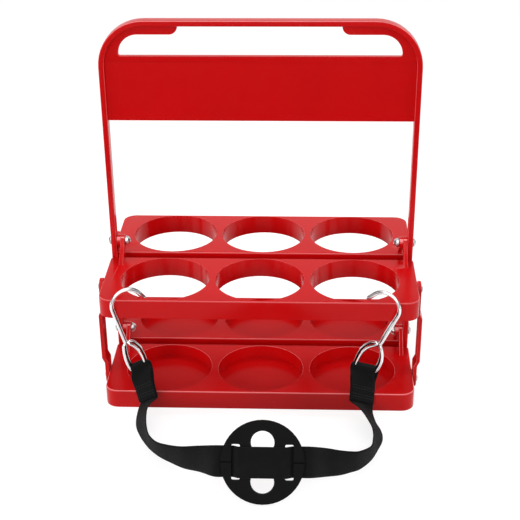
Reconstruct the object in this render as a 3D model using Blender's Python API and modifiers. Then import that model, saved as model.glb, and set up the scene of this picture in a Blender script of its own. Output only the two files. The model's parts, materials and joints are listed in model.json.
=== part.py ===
"""Folding carrier for six bottles, with an elastic strap hung on it by two hooks. Metres, +Z up.

The origin is on the floor under the middle of the carrier. The legs stand in the plane Y = 0, the
front is towards -Y, and the hinge axes run along X. Front and rear racks are the same moulding,
one turned half a turn about Z.
"""

import math

import bmesh
import bpy
from mathutils import Matrix, Vector

# Bottles
HOLE_PITCH = 0.100
HOLE_RADIUS = 0.047
CUP_RADIUS = 0.0465
CUP_DEPTH = 0.014
CUP_FLOOR = 0.002

# Racks and trays
RACK_HEIGHT = 0.0212
SHEET = 0.0025
SKIRT_WALL = 0.0025
SLEEVE_WALL = 0.002
RIM_MARGIN = 0.0018
SIDE_MARGIN = 0.0182
OUTER_CORNER = 0.014
INNER_CORNER = 0.004
TOP_ROUND = 0.0016
LEVEL_SPACING = 0.110

# Hinge ears
PIN_RISE = 0.0173
EAR_THICKNESS = 0.0041
EAR_RADIUS = 0.0065
EAR_FOOT = 0.020
STACK_GAP = 0.0003

# Handle frame
HANDLE_TOP = 0.394
LEG_THICKNESS = 0.006
LEG_DEPTH = 0.0124
LEG_INSET = 0.001
LEG_FOOT_GAP = 0.003
STOP_GAP = 0.0005
ARCH_RADIUS = 0.048
WEB_THICKNESS = 0.004
WEB_DROP = 0.009
GRIP_HALF_LENGTH = 0.0825
WEB_END_ROUND = 0.0085
OPENING_HEIGHT = 0.0312
OPENING_MARGIN = 0.0148
OPENING_CORNER = 0.002
PANEL_HEIGHT = 0.0686
PANEL_RIB_HEIGHT = 0.0055
PANEL_RIB_RISE = 0.0007
WEB_BITE = 0.003

# Side links
LINK_THICKNESS = 0.004
LINK_WIDTH = 0.018
LINK_JOG = 0.0027
LINK_JOG_LOW = 0.0195
LINK_JOG_HIGH = 0.0255
LINK_JOG_LENGTH = 0.006
LINK_GAP = 0.0004
LINK_PIN_DROP = 0.0091
LINK_PIN_SHIFT = 0.002

# Rivets
PIVOT_SHANK_RADIUS = 0.0025
PIVOT_HEAD_RADIUS = 0.005
PIVOT_HEAD_HEIGHT = 0.0058
PIVOT_TAIL_RADIUS = 0.0046
PIVOT_TAIL_HEIGHT = 0.0032
LINK_SHANK_RADIUS = 0.002
LINK_HEAD_RADIUS = 0.0039
LINK_HEAD_HEIGHT = 0.002
LINK_TAIL_RADIUS = 0.0034
LINK_TAIL_HEIGHT = 0.0016
SHANK_CLEARANCE = 0.0002
HEAD_GAP = 0.0003
RIVET_SIDES = 12

# Steps along round outlines
HOLE_SIDES = 48
CORNER_STEPS = 6
ARCH_STEPS = 12
LINK_END_STEPS = 7
DOME_STEPS = 3
ROUND_STEPS = 2
SLOT_STEPS = 8
CUT_OVERRUN = 0.005
WELD = 0.00001
FLAT_ANGLE = math.radians(1)
EDGE_ANGLE = math.radians(45)
SMOOTH_ANGLE = math.radians(35)

# Hooks of doubled wire over the front lip
WIRE_RADIUS = 0.00125
WIRE_STEP = math.radians(15)
STRAND_SPACING = 0.0028
HOOK_RADIUS = 0.0162
HOOK_SWEEP = math.radians(198)
HOOK_SHAFT = 0.0425
HOOK_YAW = math.radians(27)
HOOK_SINK = 0.005
HOOK_GAP = 0.0004
LEFT_HOOK_SHIFT = 0.0345
RIGHT_HOOK_SHIFT = 0.0286
LEFT_HOOK_LEAN = math.radians(-2.5)
RIGHT_HOOK_LEAN = math.radians(7)
EYE_WIDTH = 0.0250
EYE_HEIGHT = 0.035
EYE_SPACING = 0.0036
EYE_SPLAY = 0.0015
EYE_CLOSURE_GAP = 0.0008
# The eye's outline below the shaft's end, across its width and down its height: outer side, bar, inner side
EYE_SHARES = [
    (-0.06, -0.12), (-0.09, -0.30), (-0.09, -0.50), (-0.06, -0.72), (-0.01, -0.91), (0.08, -1.0),
    (0.36, -1.0), (0.64, -1.0), (0.92, -1.0), (0.97, -0.92), (0.92, -0.72), (0.81, -0.51),
    (0.64, -0.32), (0.45, -0.17), (0.27, -0.07),
]
EYE_BAR_SHARES = (0.18, 0.87)

# Strap
STRAP_WIDTH = 0.030
WEBBING_THICKNESS = 0.0016
WEBBING_GAP = 0.0004
LOOP_COLUMNS = 8
LOOP_ROWS = 6
LOOP_BEND_STEPS = 3
LOOP_SEWN_SHARE = 0.6
STRAP_STEPS = 3
STRAP_LEAD = 0.003
STRAP_FLOOR_GAP = 0.0003

# Disc on the strap
DISC_RADIUS = 0.040
DISC_THICKNESS = 0.0036
DISC_X = 0.009
DISC_Y = -0.246
DISC_TILT = math.radians(27)
FINGER_HOLE_RADIUS = 0.01125
FINGER_HOLE_OFFSET = 0.0187
SLOT_NEAR = 0.0214
SLOT_WIDTH = 0.0081
SLOT_HALF_HEIGHT = 0.017
SLOT_CORNER = 0.0015
SLIT_WIDTH = 0.0008
DISC_LEAD = 0.006
DISC_SIDES = 48
FINGER_HOLE_SIDES = 24

# Lower and upper edge of the strap, from the left hook's loop to the disc
STRAP_LEFT = [
    ((-0.1265, -0.1132, 0.0138), (-0.1063, -0.1215, 0.0280)),
    ((-0.1280, -0.1168, 0.0055), (-0.1095, -0.1275, 0.0245)),
    ((-0.1289, -0.1285, 0.0004), (-0.1135, -0.1374, 0.0244)),
    ((-0.1266, -0.1429, 0.0004), (-0.1134, -0.1520, 0.0257)),
    ((-0.1216, -0.1561, 0.0004), (-0.1122, -0.1650, 0.0269)),
    ((-0.1164, -0.1664, 0.0004), (-0.1103, -0.1770, 0.0272)),
    ((-0.1075, -0.1803, 0.0004), (-0.1062, -0.1915, 0.0275)),
    ((-0.0963, -0.1926, 0.0004), (-0.0975, -0.2035, 0.0280)),
    ((-0.0844, -0.2024, 0.0012), (-0.0860, -0.2110, 0.0298)),
    ((-0.0694, -0.2164, 0.0050), (-0.0713, -0.2202, 0.0346)),
    ((-0.0527, -0.2306, 0.0120), (-0.0540, -0.2278, 0.0412)),
]
# and from the disc to the right hook's loop
STRAP_RIGHT = [
    ((0.0700, -0.2330, 0.0105), (0.0695, -0.2265, 0.0398)),
    ((0.0835, -0.2225, 0.0045), (0.0820, -0.2220, 0.0343)),
    ((0.0940, -0.2140, 0.0015), (0.0925, -0.2190, 0.0310)),
    ((0.1039, -0.2069, 0.0004), (0.1023, -0.2155, 0.0290)),
    ((0.1150, -0.1927, 0.0004), (0.1138, -0.2050, 0.0278)),
    ((0.1232, -0.1742, 0.0004), (0.1165, -0.1890, 0.0260)),
    ((0.1277, -0.1621, 0.0004), (0.1169, -0.1770, 0.0245)),
    ((0.1290, -0.1517, 0.0004), (0.1160, -0.1660, 0.0235)),
    ((0.1276, -0.1409, 0.0004), (0.1135, -0.1550, 0.0225)),
    ((0.1235, -0.1285, 0.0008), (0.1094, -0.1428, 0.0228)),
    ((0.1204, -0.1186, 0.0065), (0.1035, -0.1340, 0.0250)),
    ((0.1206, -0.1128, 0.0146), (0.0955, -0.1205, 0.0265)),
]

# Sizes that follow from the ones above
INNER_EDGE = LEG_DEPTH / 2 + STOP_GAP
ROW_OFFSET = INNER_EDGE + RIM_MARGIN + HOLE_RADIUS
OUTER_EDGE = ROW_OFFSET + HOLE_RADIUS + RIM_MARGIN
HALF_WIDTH = HOLE_PITCH + HOLE_RADIUS + SIDE_MARGIN
LEG_OUTER = HALF_WIDTH - LEG_INSET
LEG_INNER = LEG_OUTER - LEG_THICKNESS
OPENING_HALF_LENGTH = LEG_INNER - OPENING_MARGIN
LOWER_PIN_Z = RACK_HEIGHT + PIN_RISE
UPPER_PIN_Z = LOWER_PIN_Z + LEVEL_SPACING
RACK_TOP = -PIN_RISE
RACK_BOTTOM = RACK_TOP - RACK_HEIGHT
LINK_PIN_Y = ROW_OFFSET + LINK_PIN_SHIFT
LINK_PIN_BELOW = PIN_RISE + LINK_PIN_DROP
LINK_INNER = HALF_WIDTH + LINK_GAP
LINK_OUTER = LINK_INNER + LINK_THICKNESS
GRIP_UNDERSIDE = HANDLE_TOP - LEG_THICKNESS
PANEL_TOP = GRIP_UNDERSIDE - OPENING_HEIGHT
PANEL_BOTTOM = PANEL_TOP - PANEL_HEIGHT

RED = (0.53, 0.008, 0.008, 1.0)
STEEL = (0.62, 0.62, 0.62, 1.0)
CHROME = (0.80, 0.80, 0.80, 1.0)
BLACK_CLOTH = (0.010, 0.010, 0.011, 1.0)
BLACK_PLASTIC = (0.012, 0.012, 0.013, 1.0)


def empty_scene():
    """Remove what the scene holds."""
    for obj in list(bpy.data.objects):
        bpy.data.objects.remove(obj, do_unlink=True)


def collection(name):
    """The collection of that name, linked to the scene."""
    group = bpy.data.collections.get(name)
    if group is None:
        group = bpy.data.collections.new(name)
        bpy.context.scene.collection.children.link(group)
    return group


def material(name, colour, roughness, metallic):
    """A Principled material."""
    mat = bpy.data.materials.get(name)
    if mat is None:
        mat = bpy.data.materials.new(name)
        mat.use_nodes = True
        shader = mat.node_tree.nodes["Principled BSDF"]
        shader.inputs["Base Color"].default_value = colour
        shader.inputs["Roughness"].default_value = roughness
        shader.inputs["Metallic"].default_value = metallic
    return mat


def red_plastic():
    return material("red_plastic", RED, 0.30, 0.0)


def rivet_steel():
    return material("rivet_steel", STEEL, 0.30, 1.0)


def hook_chrome():
    return material("hook_chrome", CHROME, 0.12, 1.0)


def black_webbing():
    return material("black_webbing", BLACK_CLOTH, 0.85, 0.0)


def black_plastic():
    return material("black_plastic", BLACK_PLASTIC, 0.38, 0.0)


def add_part(name, mesh, finish, location=(0, 0, 0), half_turn=False):
    """A named sub-part at its joint axis; half_turn turns it about Z."""
    obj = bpy.data.objects.new(name, mesh)
    collection("drink_carrier").objects.link(obj)
    obj.location = location
    obj.rotation_euler.z = math.pi if half_turn else 0
    if not mesh.materials:
        mesh.materials.append(finish)
    return obj


def add_cutter(name, mesh, location=(0, 0, 0)):
    """A body that only cuts or joins others."""
    obj = bpy.data.objects.new(name, mesh)
    collection("cutters").objects.link(obj)
    obj.location = location
    obj.hide_render = True
    obj.display_type = "WIRE"
    return obj


def boolean(obj, cutter, operation):
    """Cut, join or trim obj by cutter."""
    modifier = obj.modifiers.new(f"{operation.lower()}_{cutter.name}", "BOOLEAN")
    modifier.operation = operation
    modifier.object = cutter
    return modifier


def evaluated_copy(obj, name):
    """The mesh of obj with its modifiers applied."""
    bpy.context.view_layer.update()
    graph = bpy.context.evaluated_depsgraph_get()
    mesh = bpy.data.meshes.new_from_object(obj.evaluated_get(graph))
    mesh.name = name
    return mesh


def smooth(mesh):
    """Shade round faces smooth and keep the sharp edges."""
    mesh.shade_smooth()
    mesh.set_sharp_from_angle(angle=SMOOTH_ANGLE)


def point_outwards(mesh):
    """Turn the faces of a closed mesh to face out."""
    body = bmesh.new()
    body.from_mesh(mesh)
    bmesh.ops.recalc_face_normals(body, faces=body.faces)
    if body.calc_volume(signed=True) < 0:
        bmesh.ops.reverse_faces(body, faces=body.faces)
    body.to_mesh(mesh)
    body.free()


def fillet_loop(corners, steps=CORNER_STEPS):
    """A closed outline from (a, b, radius) corners: each radius becomes an arc of that many steps."""
    points = []
    for index, (a, b, radius) in enumerate(corners):
        here = Vector((a, b))
        if radius == 0:
            points.append((a, b))
            continue
        before = (Vector(corners[index - 1][:2]) - here).normalized()
        after = (Vector(corners[(index + 1) % len(corners)][:2]) - here).normalized()
        half_angle = before.angle(after) / 2
        centre = here + (before + after).normalized() * (radius / math.sin(half_angle))
        first = here + before * (radius / math.tan(half_angle)) - centre
        last = here + after * (radius / math.tan(half_angle)) - centre
        start = math.atan2(first.y, first.x)
        turn = math.remainder(math.atan2(last.y, last.x) - start, 2 * math.pi)
        for step in range(steps + 1):
            angle = start + turn * step / steps
            points.append((centre.x + radius * math.cos(angle), centre.y + radius * math.sin(angle)))
    return points


def circle_loop(a, b, radius, sides=HOLE_SIDES):
    """A round outline about (a, b)."""
    angles = [2 * math.pi * side / sides for side in range(sides)]
    return [(a + radius * math.cos(angle), b + radius * math.sin(angle)) for angle in angles]


PLANES = {
    "XY": Matrix.Identity(4),
    "XZ": Matrix(((1, 0, 0, 0), (0, 0, -1, 0), (0, 1, 0, 0), (0, 0, 0, 1))),
    "YZ": Matrix(((0, 0, 1, 0), (1, 0, 0, 0), (0, 1, 0, 0), (0, 0, 0, 1))),
}


def prism(name, loops, plane, low, high):
    """A flat outline, with any loops inside it as holes, drawn out from low to high across its plane."""
    curve = bpy.data.curves.new(name, "CURVE")
    curve.dimensions = "2D"
    curve.fill_mode = "BOTH"
    curve.extrude = (high - low) / 2
    for loop in loops:
        spline = curve.splines.new("POLY")
        spline.points.add(len(loop) - 1)
        for point, (a, b) in zip(spline.points, loop):
            point.co = (a, b, 0, 1)
        spline.use_cyclic_u = True
    holder = bpy.data.objects.new(name, curve)
    bpy.context.scene.collection.objects.link(holder)
    mesh = evaluated_copy(holder, name)
    bpy.data.objects.remove(holder, do_unlink=True)
    body = bmesh.new()
    body.from_mesh(mesh)
    bmesh.ops.remove_doubles(body, verts=body.verts, dist=WELD)
    bmesh.ops.dissolve_limit(body, angle_limit=FLAT_ANGLE, verts=body.verts, edges=body.edges)
    body.to_mesh(mesh)
    body.free()
    across = (low + high) / 2 if plane != "XZ" else -(low + high) / 2
    mesh.transform(PLANES[plane] @ Matrix.Translation((0, 0, across)))
    point_outwards(mesh)
    return mesh


def round_top(mesh, level, width):
    """Round the outer edges of a prism's upper face."""
    body = bmesh.new()
    body.from_mesh(mesh)
    body.normal_update()
    rim = [
        edge
        for edge in body.edges
        if all(abs(vert.co.z - level) < WELD for vert in edge.verts)
        and edge.calc_face_angle(0) > EDGE_ANGLE
    ]
    bmesh.ops.bevel(
        body, geom=rim, offset=width, offset_type="OFFSET", segments=ROUND_STEPS, profile=0.5,
        affect="EDGES", clamp_overlap=True,
    )
    body.to_mesh(mesh)
    body.free()


def merged(name, meshes):
    """Several closed bodies in one mesh."""
    body = bmesh.new()
    for mesh in meshes:
        body.from_mesh(mesh)
    result = bpy.data.meshes.new(name)
    body.to_mesh(result)
    body.free()
    return result


def turned(name, profile, sides):
    """A body turned about its Z axis: the profile runs from the top of the axis to its bottom."""
    mesh = bpy.data.meshes.new(name)
    points = [(radius, 0, height) for radius, height in profile]
    mesh.from_pydata(points, [(i, i + 1) for i in range(len(points) - 1)], [])
    holder = bpy.data.objects.new(name, mesh)
    bpy.context.scene.collection.objects.link(holder)
    screw = holder.modifiers.new("turn", "SCREW")
    screw.steps = sides
    screw.render_steps = sides
    screw.use_merge_vertices = True
    screw.merge_threshold = WELD
    result = evaluated_copy(holder, name)
    bpy.data.objects.remove(holder, do_unlink=True)
    point_outwards(result)
    return result


def column_places():
    """X of the three bottles of a row."""
    return [-HOLE_PITCH, 0, HOLE_PITCH]


def rack_outline(inset):
    """Outline of a front rack, drawn in from its edges: rounder corners outside, tight ones at the legs."""
    side = HALF_WIDTH - inset
    outer = -(OUTER_EDGE - inset)
    inner = -(INNER_EDGE + inset)
    wide = OUTER_CORNER - inset
    tight = max(INNER_CORNER - inset, TOP_ROUND)
    return fillet_loop([
        (-side, inner, tight), (-side, outer, wide), (side, outer, wide), (side, inner, tight),
    ])


def ear_outline():
    """Side view of a front rack's ear in Y and Z: a round eye on the pin with a slanted foot on the sheet."""
    root = RACK_TOP - SHEET / 2
    foot = -(INNER_EDGE + EAR_FOOT)
    slope = math.atan2(RACK_TOP, foot)
    reach = math.hypot(foot, RACK_TOP)
    upper = slope - math.acos(EAR_RADIUS / reach)
    lower = -math.pi / 4
    sweep = (lower - upper) % (-2 * math.pi)
    steps = 2 * CORNER_STEPS
    eye = [
        (EAR_RADIUS * math.cos(upper + sweep * i / steps), EAR_RADIUS * math.sin(upper + sweep * i / steps))
        for i in range(steps + 1)
    ]
    heel = -(INNER_EDGE + INNER_CORNER / 2)
    return [(foot, root), (foot, RACK_TOP)] + eye + [(heel, RACK_TOP + SHEET), (heel, root)]


def ear_slots():
    """X ranges of a front rack's two ears: next to the head on the left, next to the leg on the right."""
    by_leg = LEG_INNER - STACK_GAP
    by_head = by_leg - EAR_THICKNESS - STACK_GAP
    return [(-by_head, -(by_head - EAR_THICKNESS)), (by_leg - EAR_THICKNESS, by_leg)]


def rack(name, cups, pin_z):
    """A rack with through holes, or with cups a tray: shell, sleeves, ears and pin holes."""
    mesh = prism(name, [rack_outline(0)], "XY", RACK_BOTTOM, RACK_TOP)
    round_top(mesh, RACK_TOP, TOP_ROUND)
    obj = add_part(name, mesh, red_plastic(), (0, 0, pin_z))
    place = (0, 0, pin_z)
    radius = CUP_RADIUS if cups else HOLE_RADIUS
    sleeve_foot = RACK_TOP - CUP_DEPTH - CUP_FLOOR if cups else RACK_BOTTOM - CUT_OVERRUN
    hole_foot = RACK_TOP - CUP_DEPTH if cups else RACK_BOTTOM - CUT_OVERRUN

    cavity_mesh = prism(
        f"{name}_cavity", [rack_outline(SKIRT_WALL)], "XY", RACK_BOTTOM - CUT_OVERRUN, RACK_TOP - SHEET
    )
    sleeves_mesh = merged(f"{name}_sleeves", [
        prism("sleeve", [circle_loop(x, -ROW_OFFSET, radius + SLEEVE_WALL)], "XY",
              sleeve_foot if cups else sleeve_foot - CUT_OVERRUN, RACK_TOP)
        for x in column_places()
    ])
    cavity = add_cutter(f"{name}_cavity", cavity_mesh, place)
    boolean(cavity, add_cutter(f"{name}_sleeves", sleeves_mesh, place), "DIFFERENCE")
    boolean(obj, cavity, "DIFFERENCE")

    holes_mesh = merged(f"{name}_holes", [
        prism("hole", [circle_loop(x, -ROW_OFFSET, radius)], "XY", hole_foot, RACK_TOP + CUT_OVERRUN)
        for x in column_places()
    ])
    boolean(obj, add_cutter(f"{name}_holes", holes_mesh, place), "DIFFERENCE")

    ears_mesh = merged(f"{name}_ears", [
        prism("ear", [ear_outline()], "YZ", low, high) for low, high in ear_slots()
    ])
    boolean(obj, add_cutter(f"{name}_ears", ears_mesh, place), "UNION")

    hole_radius = PIVOT_SHANK_RADIUS + SHANK_CLEARANCE
    pin_mesh = prism(
        f"{name}_pin_hole", [circle_loop(0, 0, hole_radius, RIVET_SIDES)], "YZ", -LEG_INNER, LEG_INNER
    )
    boolean(obj, add_cutter(f"{name}_pin_hole", pin_mesh, place), "DIFFERENCE")

    link_hole = circle_loop(
        -LINK_PIN_Y, -LINK_PIN_BELOW, LINK_SHANK_RADIUS + SHANK_CLEARANCE, RIVET_SIDES
    )
    wall = HALF_WIDTH - SKIRT_WALL - CUT_OVERRUN
    link_holes = merged(f"{name}_link_holes", [
        prism("link_hole", [link_hole], "YZ", -HALF_WIDTH - CUT_OVERRUN, -wall),
        prism("link_hole", [link_hole], "YZ", wall, HALF_WIDTH + CUT_OVERRUN),
    ])
    boolean(obj, add_cutter(f"{name}_link_holes", link_holes, place), "DIFFERENCE")
    return obj


def racks():
    """The two levels, each a front rack and the same moulding turned round at the rear."""
    for level, cups, pin_z in (("upper", False, UPPER_PIN_Z), ("lower", True, LOWER_PIN_Z)):
        kind = "tray" if cups else "rack"
        front = rack(f"{level}_front_{kind}", cups, pin_z)
        mesh = evaluated_copy(front, f"{level}_rear_{kind}")
        add_part(f"{level}_rear_{kind}", mesh, red_plastic(), (0, 0, pin_z), half_turn=True)
        smooth(mesh)
        smooth(front.data)


def arch_path(inset, foot):
    """Half-round-cornered arch from the left foot over to the right one."""
    side = LEG_OUTER - inset
    top = HANDLE_TOP - inset
    radius = ARCH_RADIUS - inset
    return fillet_loop(
        [(-side, foot, 0), (-side, top, radius), (side, top, radius), (side, foot, 0)], ARCH_STEPS
    )


def grip_opening():
    """The hand opening: a long slot, its ends lower under the webs than under the grip."""
    web = GRIP_UNDERSIDE - WEB_DROP
    end = OPENING_HALF_LENGTH
    top_corner = web - PANEL_TOP - OPENING_CORNER
    half = [
        (end, PANEL_TOP, OPENING_CORNER), (end, web, top_corner),
        (GRIP_HALF_LENGTH, web, WEB_END_ROUND), (GRIP_HALF_LENGTH, GRIP_UNDERSIDE, 0),
    ]
    return fillet_loop(half + [(-a, b, radius) for a, b, radius in reversed(half)], ARCH_STEPS)


def handle_frame():
    """Arch band with its legs, the thin web with the grip opening, two ribs on the panel, pin holes."""
    band_mesh = prism(
        "handle_frame",
        [arch_path(0, LEG_FOOT_GAP) + arch_path(LEG_THICKNESS, LEG_FOOT_GAP)[::-1]],
        "XZ", -LEG_DEPTH / 2, LEG_DEPTH / 2,
    )
    frame = add_part("handle_frame", band_mesh, red_plastic())
    web_mesh = prism(
        "handle_web", [arch_path(WEB_BITE, PANEL_BOTTOM), grip_opening()],
        "XZ", -WEB_THICKNESS / 2, WEB_THICKNESS / 2,
    )
    rib_half = WEB_THICKNESS / 2 + PANEL_RIB_RISE
    side = LEG_OUTER - WEB_BITE
    ribs = []
    for low in (PANEL_BOTTOM, PANEL_TOP - PANEL_RIB_HEIGHT):
        high = low + PANEL_RIB_HEIGHT
        ribs.append(prism("rib", [[(-side, low), (side, low), (side, high), (-side, high)]],
                          "XZ", -rib_half, rib_half))
    boolean(frame, add_cutter("handle_web", web_mesh), "UNION")
    boolean(frame, add_cutter("panel_ribs", merged("panel_ribs", ribs)), "UNION")
    hole_radius = PIVOT_SHANK_RADIUS + SHANK_CLEARANCE
    reach = LEG_OUTER + CUT_OVERRUN
    holes = merged("leg_pin_holes", [
        prism("hole", [circle_loop(0, pin_z, hole_radius, RIVET_SIDES)], "YZ", -reach, reach)
        for pin_z in (LOWER_PIN_Z, UPPER_PIN_Z)
    ])
    boolean(frame, add_cutter("leg_pin_holes", holes), "DIFFERENCE")
    smooth(frame.data)


def link_mesh():
    """A side link at +X: a bar dog-legged outwards between its two round ends, hung from its upper pin."""
    top = LINK_WIDTH / 2
    foot = -LEVEL_SPACING - LINK_WIDTH / 2
    low = -LEVEL_SPACING + LINK_JOG_LOW
    high = -LINK_JOG_HIGH
    inner = [
        (LINK_INNER, foot), (LINK_INNER, low), (LINK_INNER + LINK_JOG, low + LINK_JOG_LENGTH),
        (LINK_INNER + LINK_JOG, high - LINK_JOG_LENGTH), (LINK_INNER, high), (LINK_INNER, top),
    ]
    outer = [(a + LINK_THICKNESS, b) for a, b in reversed(inner)]
    bar = prism("link", [inner + outer], "XZ", -LINK_WIDTH / 2, LINK_WIDTH / 2)
    holder = add_cutter("link_bar", bar)
    stadium = fillet_loop([
        (-top, foot, top), (top, foot, top), (top, top, top), (-top, top, top),
    ], LINK_END_STEPS)
    reach = LINK_OUTER + LINK_JOG + CUT_OVERRUN
    ends = add_cutter("link_ends", prism("link_ends", [stadium], "YZ", LEG_INNER, reach))
    boolean(holder, ends, "INTERSECT")
    hole_radius = LINK_SHANK_RADIUS + SHANK_CLEARANCE
    holes = merged("link_pin_holes", [
        prism("hole", [circle_loop(0, height, hole_radius, RIVET_SIDES)], "YZ", LEG_INNER, reach)
        for height in (0, -LEVEL_SPACING)
    ])
    boolean(holder, add_cutter("link_pin_holes", holes), "DIFFERENCE")
    mesh = evaluated_copy(holder, "side_link")
    smooth(mesh)
    return mesh


def dome(radius, height, base, steps=DOME_STEPS):
    """Profile of a domed head from its crown to its rim, standing on base."""
    points = []
    for step in range(steps + 1):
        angle = math.pi / 2 * step / steps
        points.append((radius * math.sin(angle), base + height * math.cos(angle)))
    return points


def rivet_mesh(name, low, high, shank, head, tail):
    """A rivet along +X: shank from low to high, a domed head beyond high and a domed tail beyond low."""
    head_radius, head_height = head
    tail_radius, tail_height = tail
    profile = dome(head_radius, head_height, high) + [(shank, high), (shank, low)]
    profile += [(radius, low - (height - low)) for radius, height in reversed(dome(tail_radius, tail_height, low))]
    mesh = turned(name, profile, RIVET_SIDES)
    mesh.transform(Matrix.Rotation(math.pi / 2, 4, "Y"))
    smooth(mesh)
    return mesh


def rivets():
    """Four large rivets through leg and ears, eight small ones through link and skirt."""
    stack_inner = LEG_INNER - 2 * (STACK_GAP + EAR_THICKNESS) - HEAD_GAP
    pivot = rivet_mesh(
        "pivot_rivet", stack_inner, LEG_OUTER + HEAD_GAP, PIVOT_SHANK_RADIUS,
        (PIVOT_TAIL_RADIUS, PIVOT_TAIL_HEIGHT), (PIVOT_HEAD_RADIUS, PIVOT_HEAD_HEIGHT),
    )
    small = rivet_mesh(
        "link_rivet", HALF_WIDTH - SKIRT_WALL - HEAD_GAP, LINK_OUTER + HEAD_GAP, LINK_SHANK_RADIUS,
        (LINK_HEAD_RADIUS, LINK_HEAD_HEIGHT), (LINK_TAIL_RADIUS, LINK_TAIL_HEIGHT),
    )
    for level, pin_z in (("upper", UPPER_PIN_Z), ("lower", LOWER_PIN_Z)):
        for side, left in (("left", True), ("right", False)):
            add_part(f"pivot_rivet_{level}_{side}", pivot, rivet_steel(), (0, 0, pin_z), half_turn=left)
            for row, sign in (("front", -1), ("rear", 1)):
                place = (0, sign * LINK_PIN_Y, pin_z - LINK_PIN_BELOW)
                add_part(f"link_rivet_{level}_{row}_{side}", small, rivet_steel(), place, half_turn=left)


def links():
    """The four side links share one mesh; the left ones are turned half a turn."""
    mesh = link_mesh()
    for row, sign in (("front", -1), ("rear", 1)):
        for side, left in (("left", True), ("right", False)):
            place = (0, sign * LINK_PIN_Y, UPPER_PIN_Z - LINK_PIN_BELOW)
            add_part(f"link_{row}_{side}", mesh, red_plastic(), place, half_turn=left)


def hook_centre_line(lean):
    """One strand in its own plane, from the tip over the bend and down the shaft: (across, up) points."""
    end = HOOK_SWEEP + lean
    steps = round(HOOK_SWEEP / WIRE_STEP)
    bend = [lean + HOOK_SWEEP * step / steps for step in range(steps + 1)]
    points = [(HOOK_RADIUS * math.cos(angle), HOOK_RADIUS * math.sin(angle)) for angle in bend]
    last = points[-1]
    points.append((last[0] - HOOK_SHAFT * math.sin(end), last[1] + HOOK_SHAFT * math.cos(end)))
    return points


def eye_point(lean, across_share, down_share):
    """A point of the eye's outline in the hook's plane."""
    end = hook_centre_line(lean)[-1]
    across = EYE_WIDTH * across_share
    up = EYE_HEIGHT * down_share
    return (
        end[0] + across * math.cos(lean) - up * math.sin(lean),
        end[1] + across * math.sin(lean) + up * math.cos(lean),
    )


def eye_line(lean):
    """The strand round the eye, from the shaft's end down its outer side and up to a closed top."""
    points = [eye_point(lean, across, down) for across, down in EYE_SHARES]
    reach = 2 * WIRE_RADIUS + EYE_CLOSURE_GAP
    points.append(eye_point(lean, reach / EYE_WIDTH, 0))
    return points


def hook_route(lean):
    """The whole wire: up one strand from the eye, round the tip, and down the other strand to the eye."""
    hook = hook_centre_line(lean)
    eye = eye_line(lean)
    half = STRAND_SPACING / 2
    wide = EYE_SPACING / 2
    strand = []
    for index, (across, up) in enumerate(eye[::-1]):
        strand.append((across, half if index == 0 else wide, up))
    strand += [(across, half, up) for across, up in hook[::-1]]
    tip_turn = []
    for angle in (math.radians(45), math.radians(90), math.radians(135)):
        drop = half * math.sin(angle)
        tip_turn.append((
            hook[0][0] + drop * math.sin(lean), half * math.cos(angle), hook[0][1] - drop * math.cos(lean)
        ))
    mirrored = [(across, -side, up) for across, side, up in strand[::-1]]
    splayed = [
        (across + (EYE_SPLAY if side > half else 0), side, up) for across, side, up in strand
    ]
    return splayed + tip_turn + mirrored


def hook_place(left, lean):
    """World place and plan turn of a hook: its shaft rests against the skirt's lower front edge."""
    shift = LEFT_HOOK_SHIFT if left else RIGHT_HOOK_SHIFT
    end = HOOK_SWEEP + lean
    foot = hook_centre_line(lean)[-2]
    skirt_foot = HOOK_SINK - RACK_HEIGHT
    across = foot[0] + (skirt_foot - foot[1]) * -math.tan(end)
    reach = STRAND_SPACING / 2 + WIRE_RADIUS
    y = -(OUTER_EDGE + HOOK_GAP + reach * math.cos(HOOK_YAW)) - across * math.sin(HOOK_YAW)
    x = (HOLE_PITCH + shift) * (-1 if left else 1)
    yaw = HOOK_YAW if left else math.pi - HOOK_YAW
    return Vector((x, y, UPPER_PIN_Z + RACK_TOP - HOOK_SINK)), yaw


def carried_by(obj, carrier):
    """Parent obj to its carrier where it stands."""
    bpy.context.view_layer.update()
    obj.parent = carrier
    obj.matrix_parent_inverse = carrier.matrix_world.inverted()


def hook(name, left, lean):
    """A hook of doubled wire with its eye."""
    curve = bpy.data.curves.new(name, "CURVE")
    curve.dimensions = "3D"
    curve.bevel_depth = WIRE_RADIUS
    curve.bevel_resolution = 2
    curve.use_fill_caps = True
    route = hook_route(lean)
    spline = curve.splines.new("POLY")
    spline.points.add(len(route) - 1)
    for point, place in zip(spline.points, route):
        point.co = (*place, 1)
    spline.use_smooth = True
    obj = add_part(name, curve, hook_chrome())
    obj.location, obj.rotation_euler.z = hook_place(left, lean)
    return obj


def webbing(name, rows):
    """A webbing surface through rows of points across its width, given its thickness."""
    mesh = bpy.data.meshes.new(name)
    width = len(rows[0])
    faces = [
        (row * width + column, row * width + column + 1,
         (row + 1) * width + column + 1, (row + 1) * width + column)
        for row in range(len(rows) - 1) for column in range(width - 1)
    ]
    mesh.from_pydata([tuple(point) for row in rows for point in row], [], faces)
    mesh.shade_smooth()
    obj = add_part(name, mesh, black_webbing())
    solidify = obj.modifiers.new("thickness", "SOLIDIFY")
    solidify.thickness = WEBBING_THICKNESS
    solidify.offset = 0
    return obj


def eye_bar(left, lean):
    """The two ends of the straight bar of a hook's eye in the world, and the direction across its plane."""
    place, yaw = hook_place(left, lean)
    inward = Vector((math.cos(yaw), math.sin(yaw), 0))
    side = Vector((-math.sin(yaw), math.cos(yaw), 0))
    ends = []
    for share in EYE_BAR_SHARES:
        across, up = eye_point(lean, share, -1)
        ends.append(place + inward * across + Vector((0, 0, up)))
    return ends, side


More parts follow.
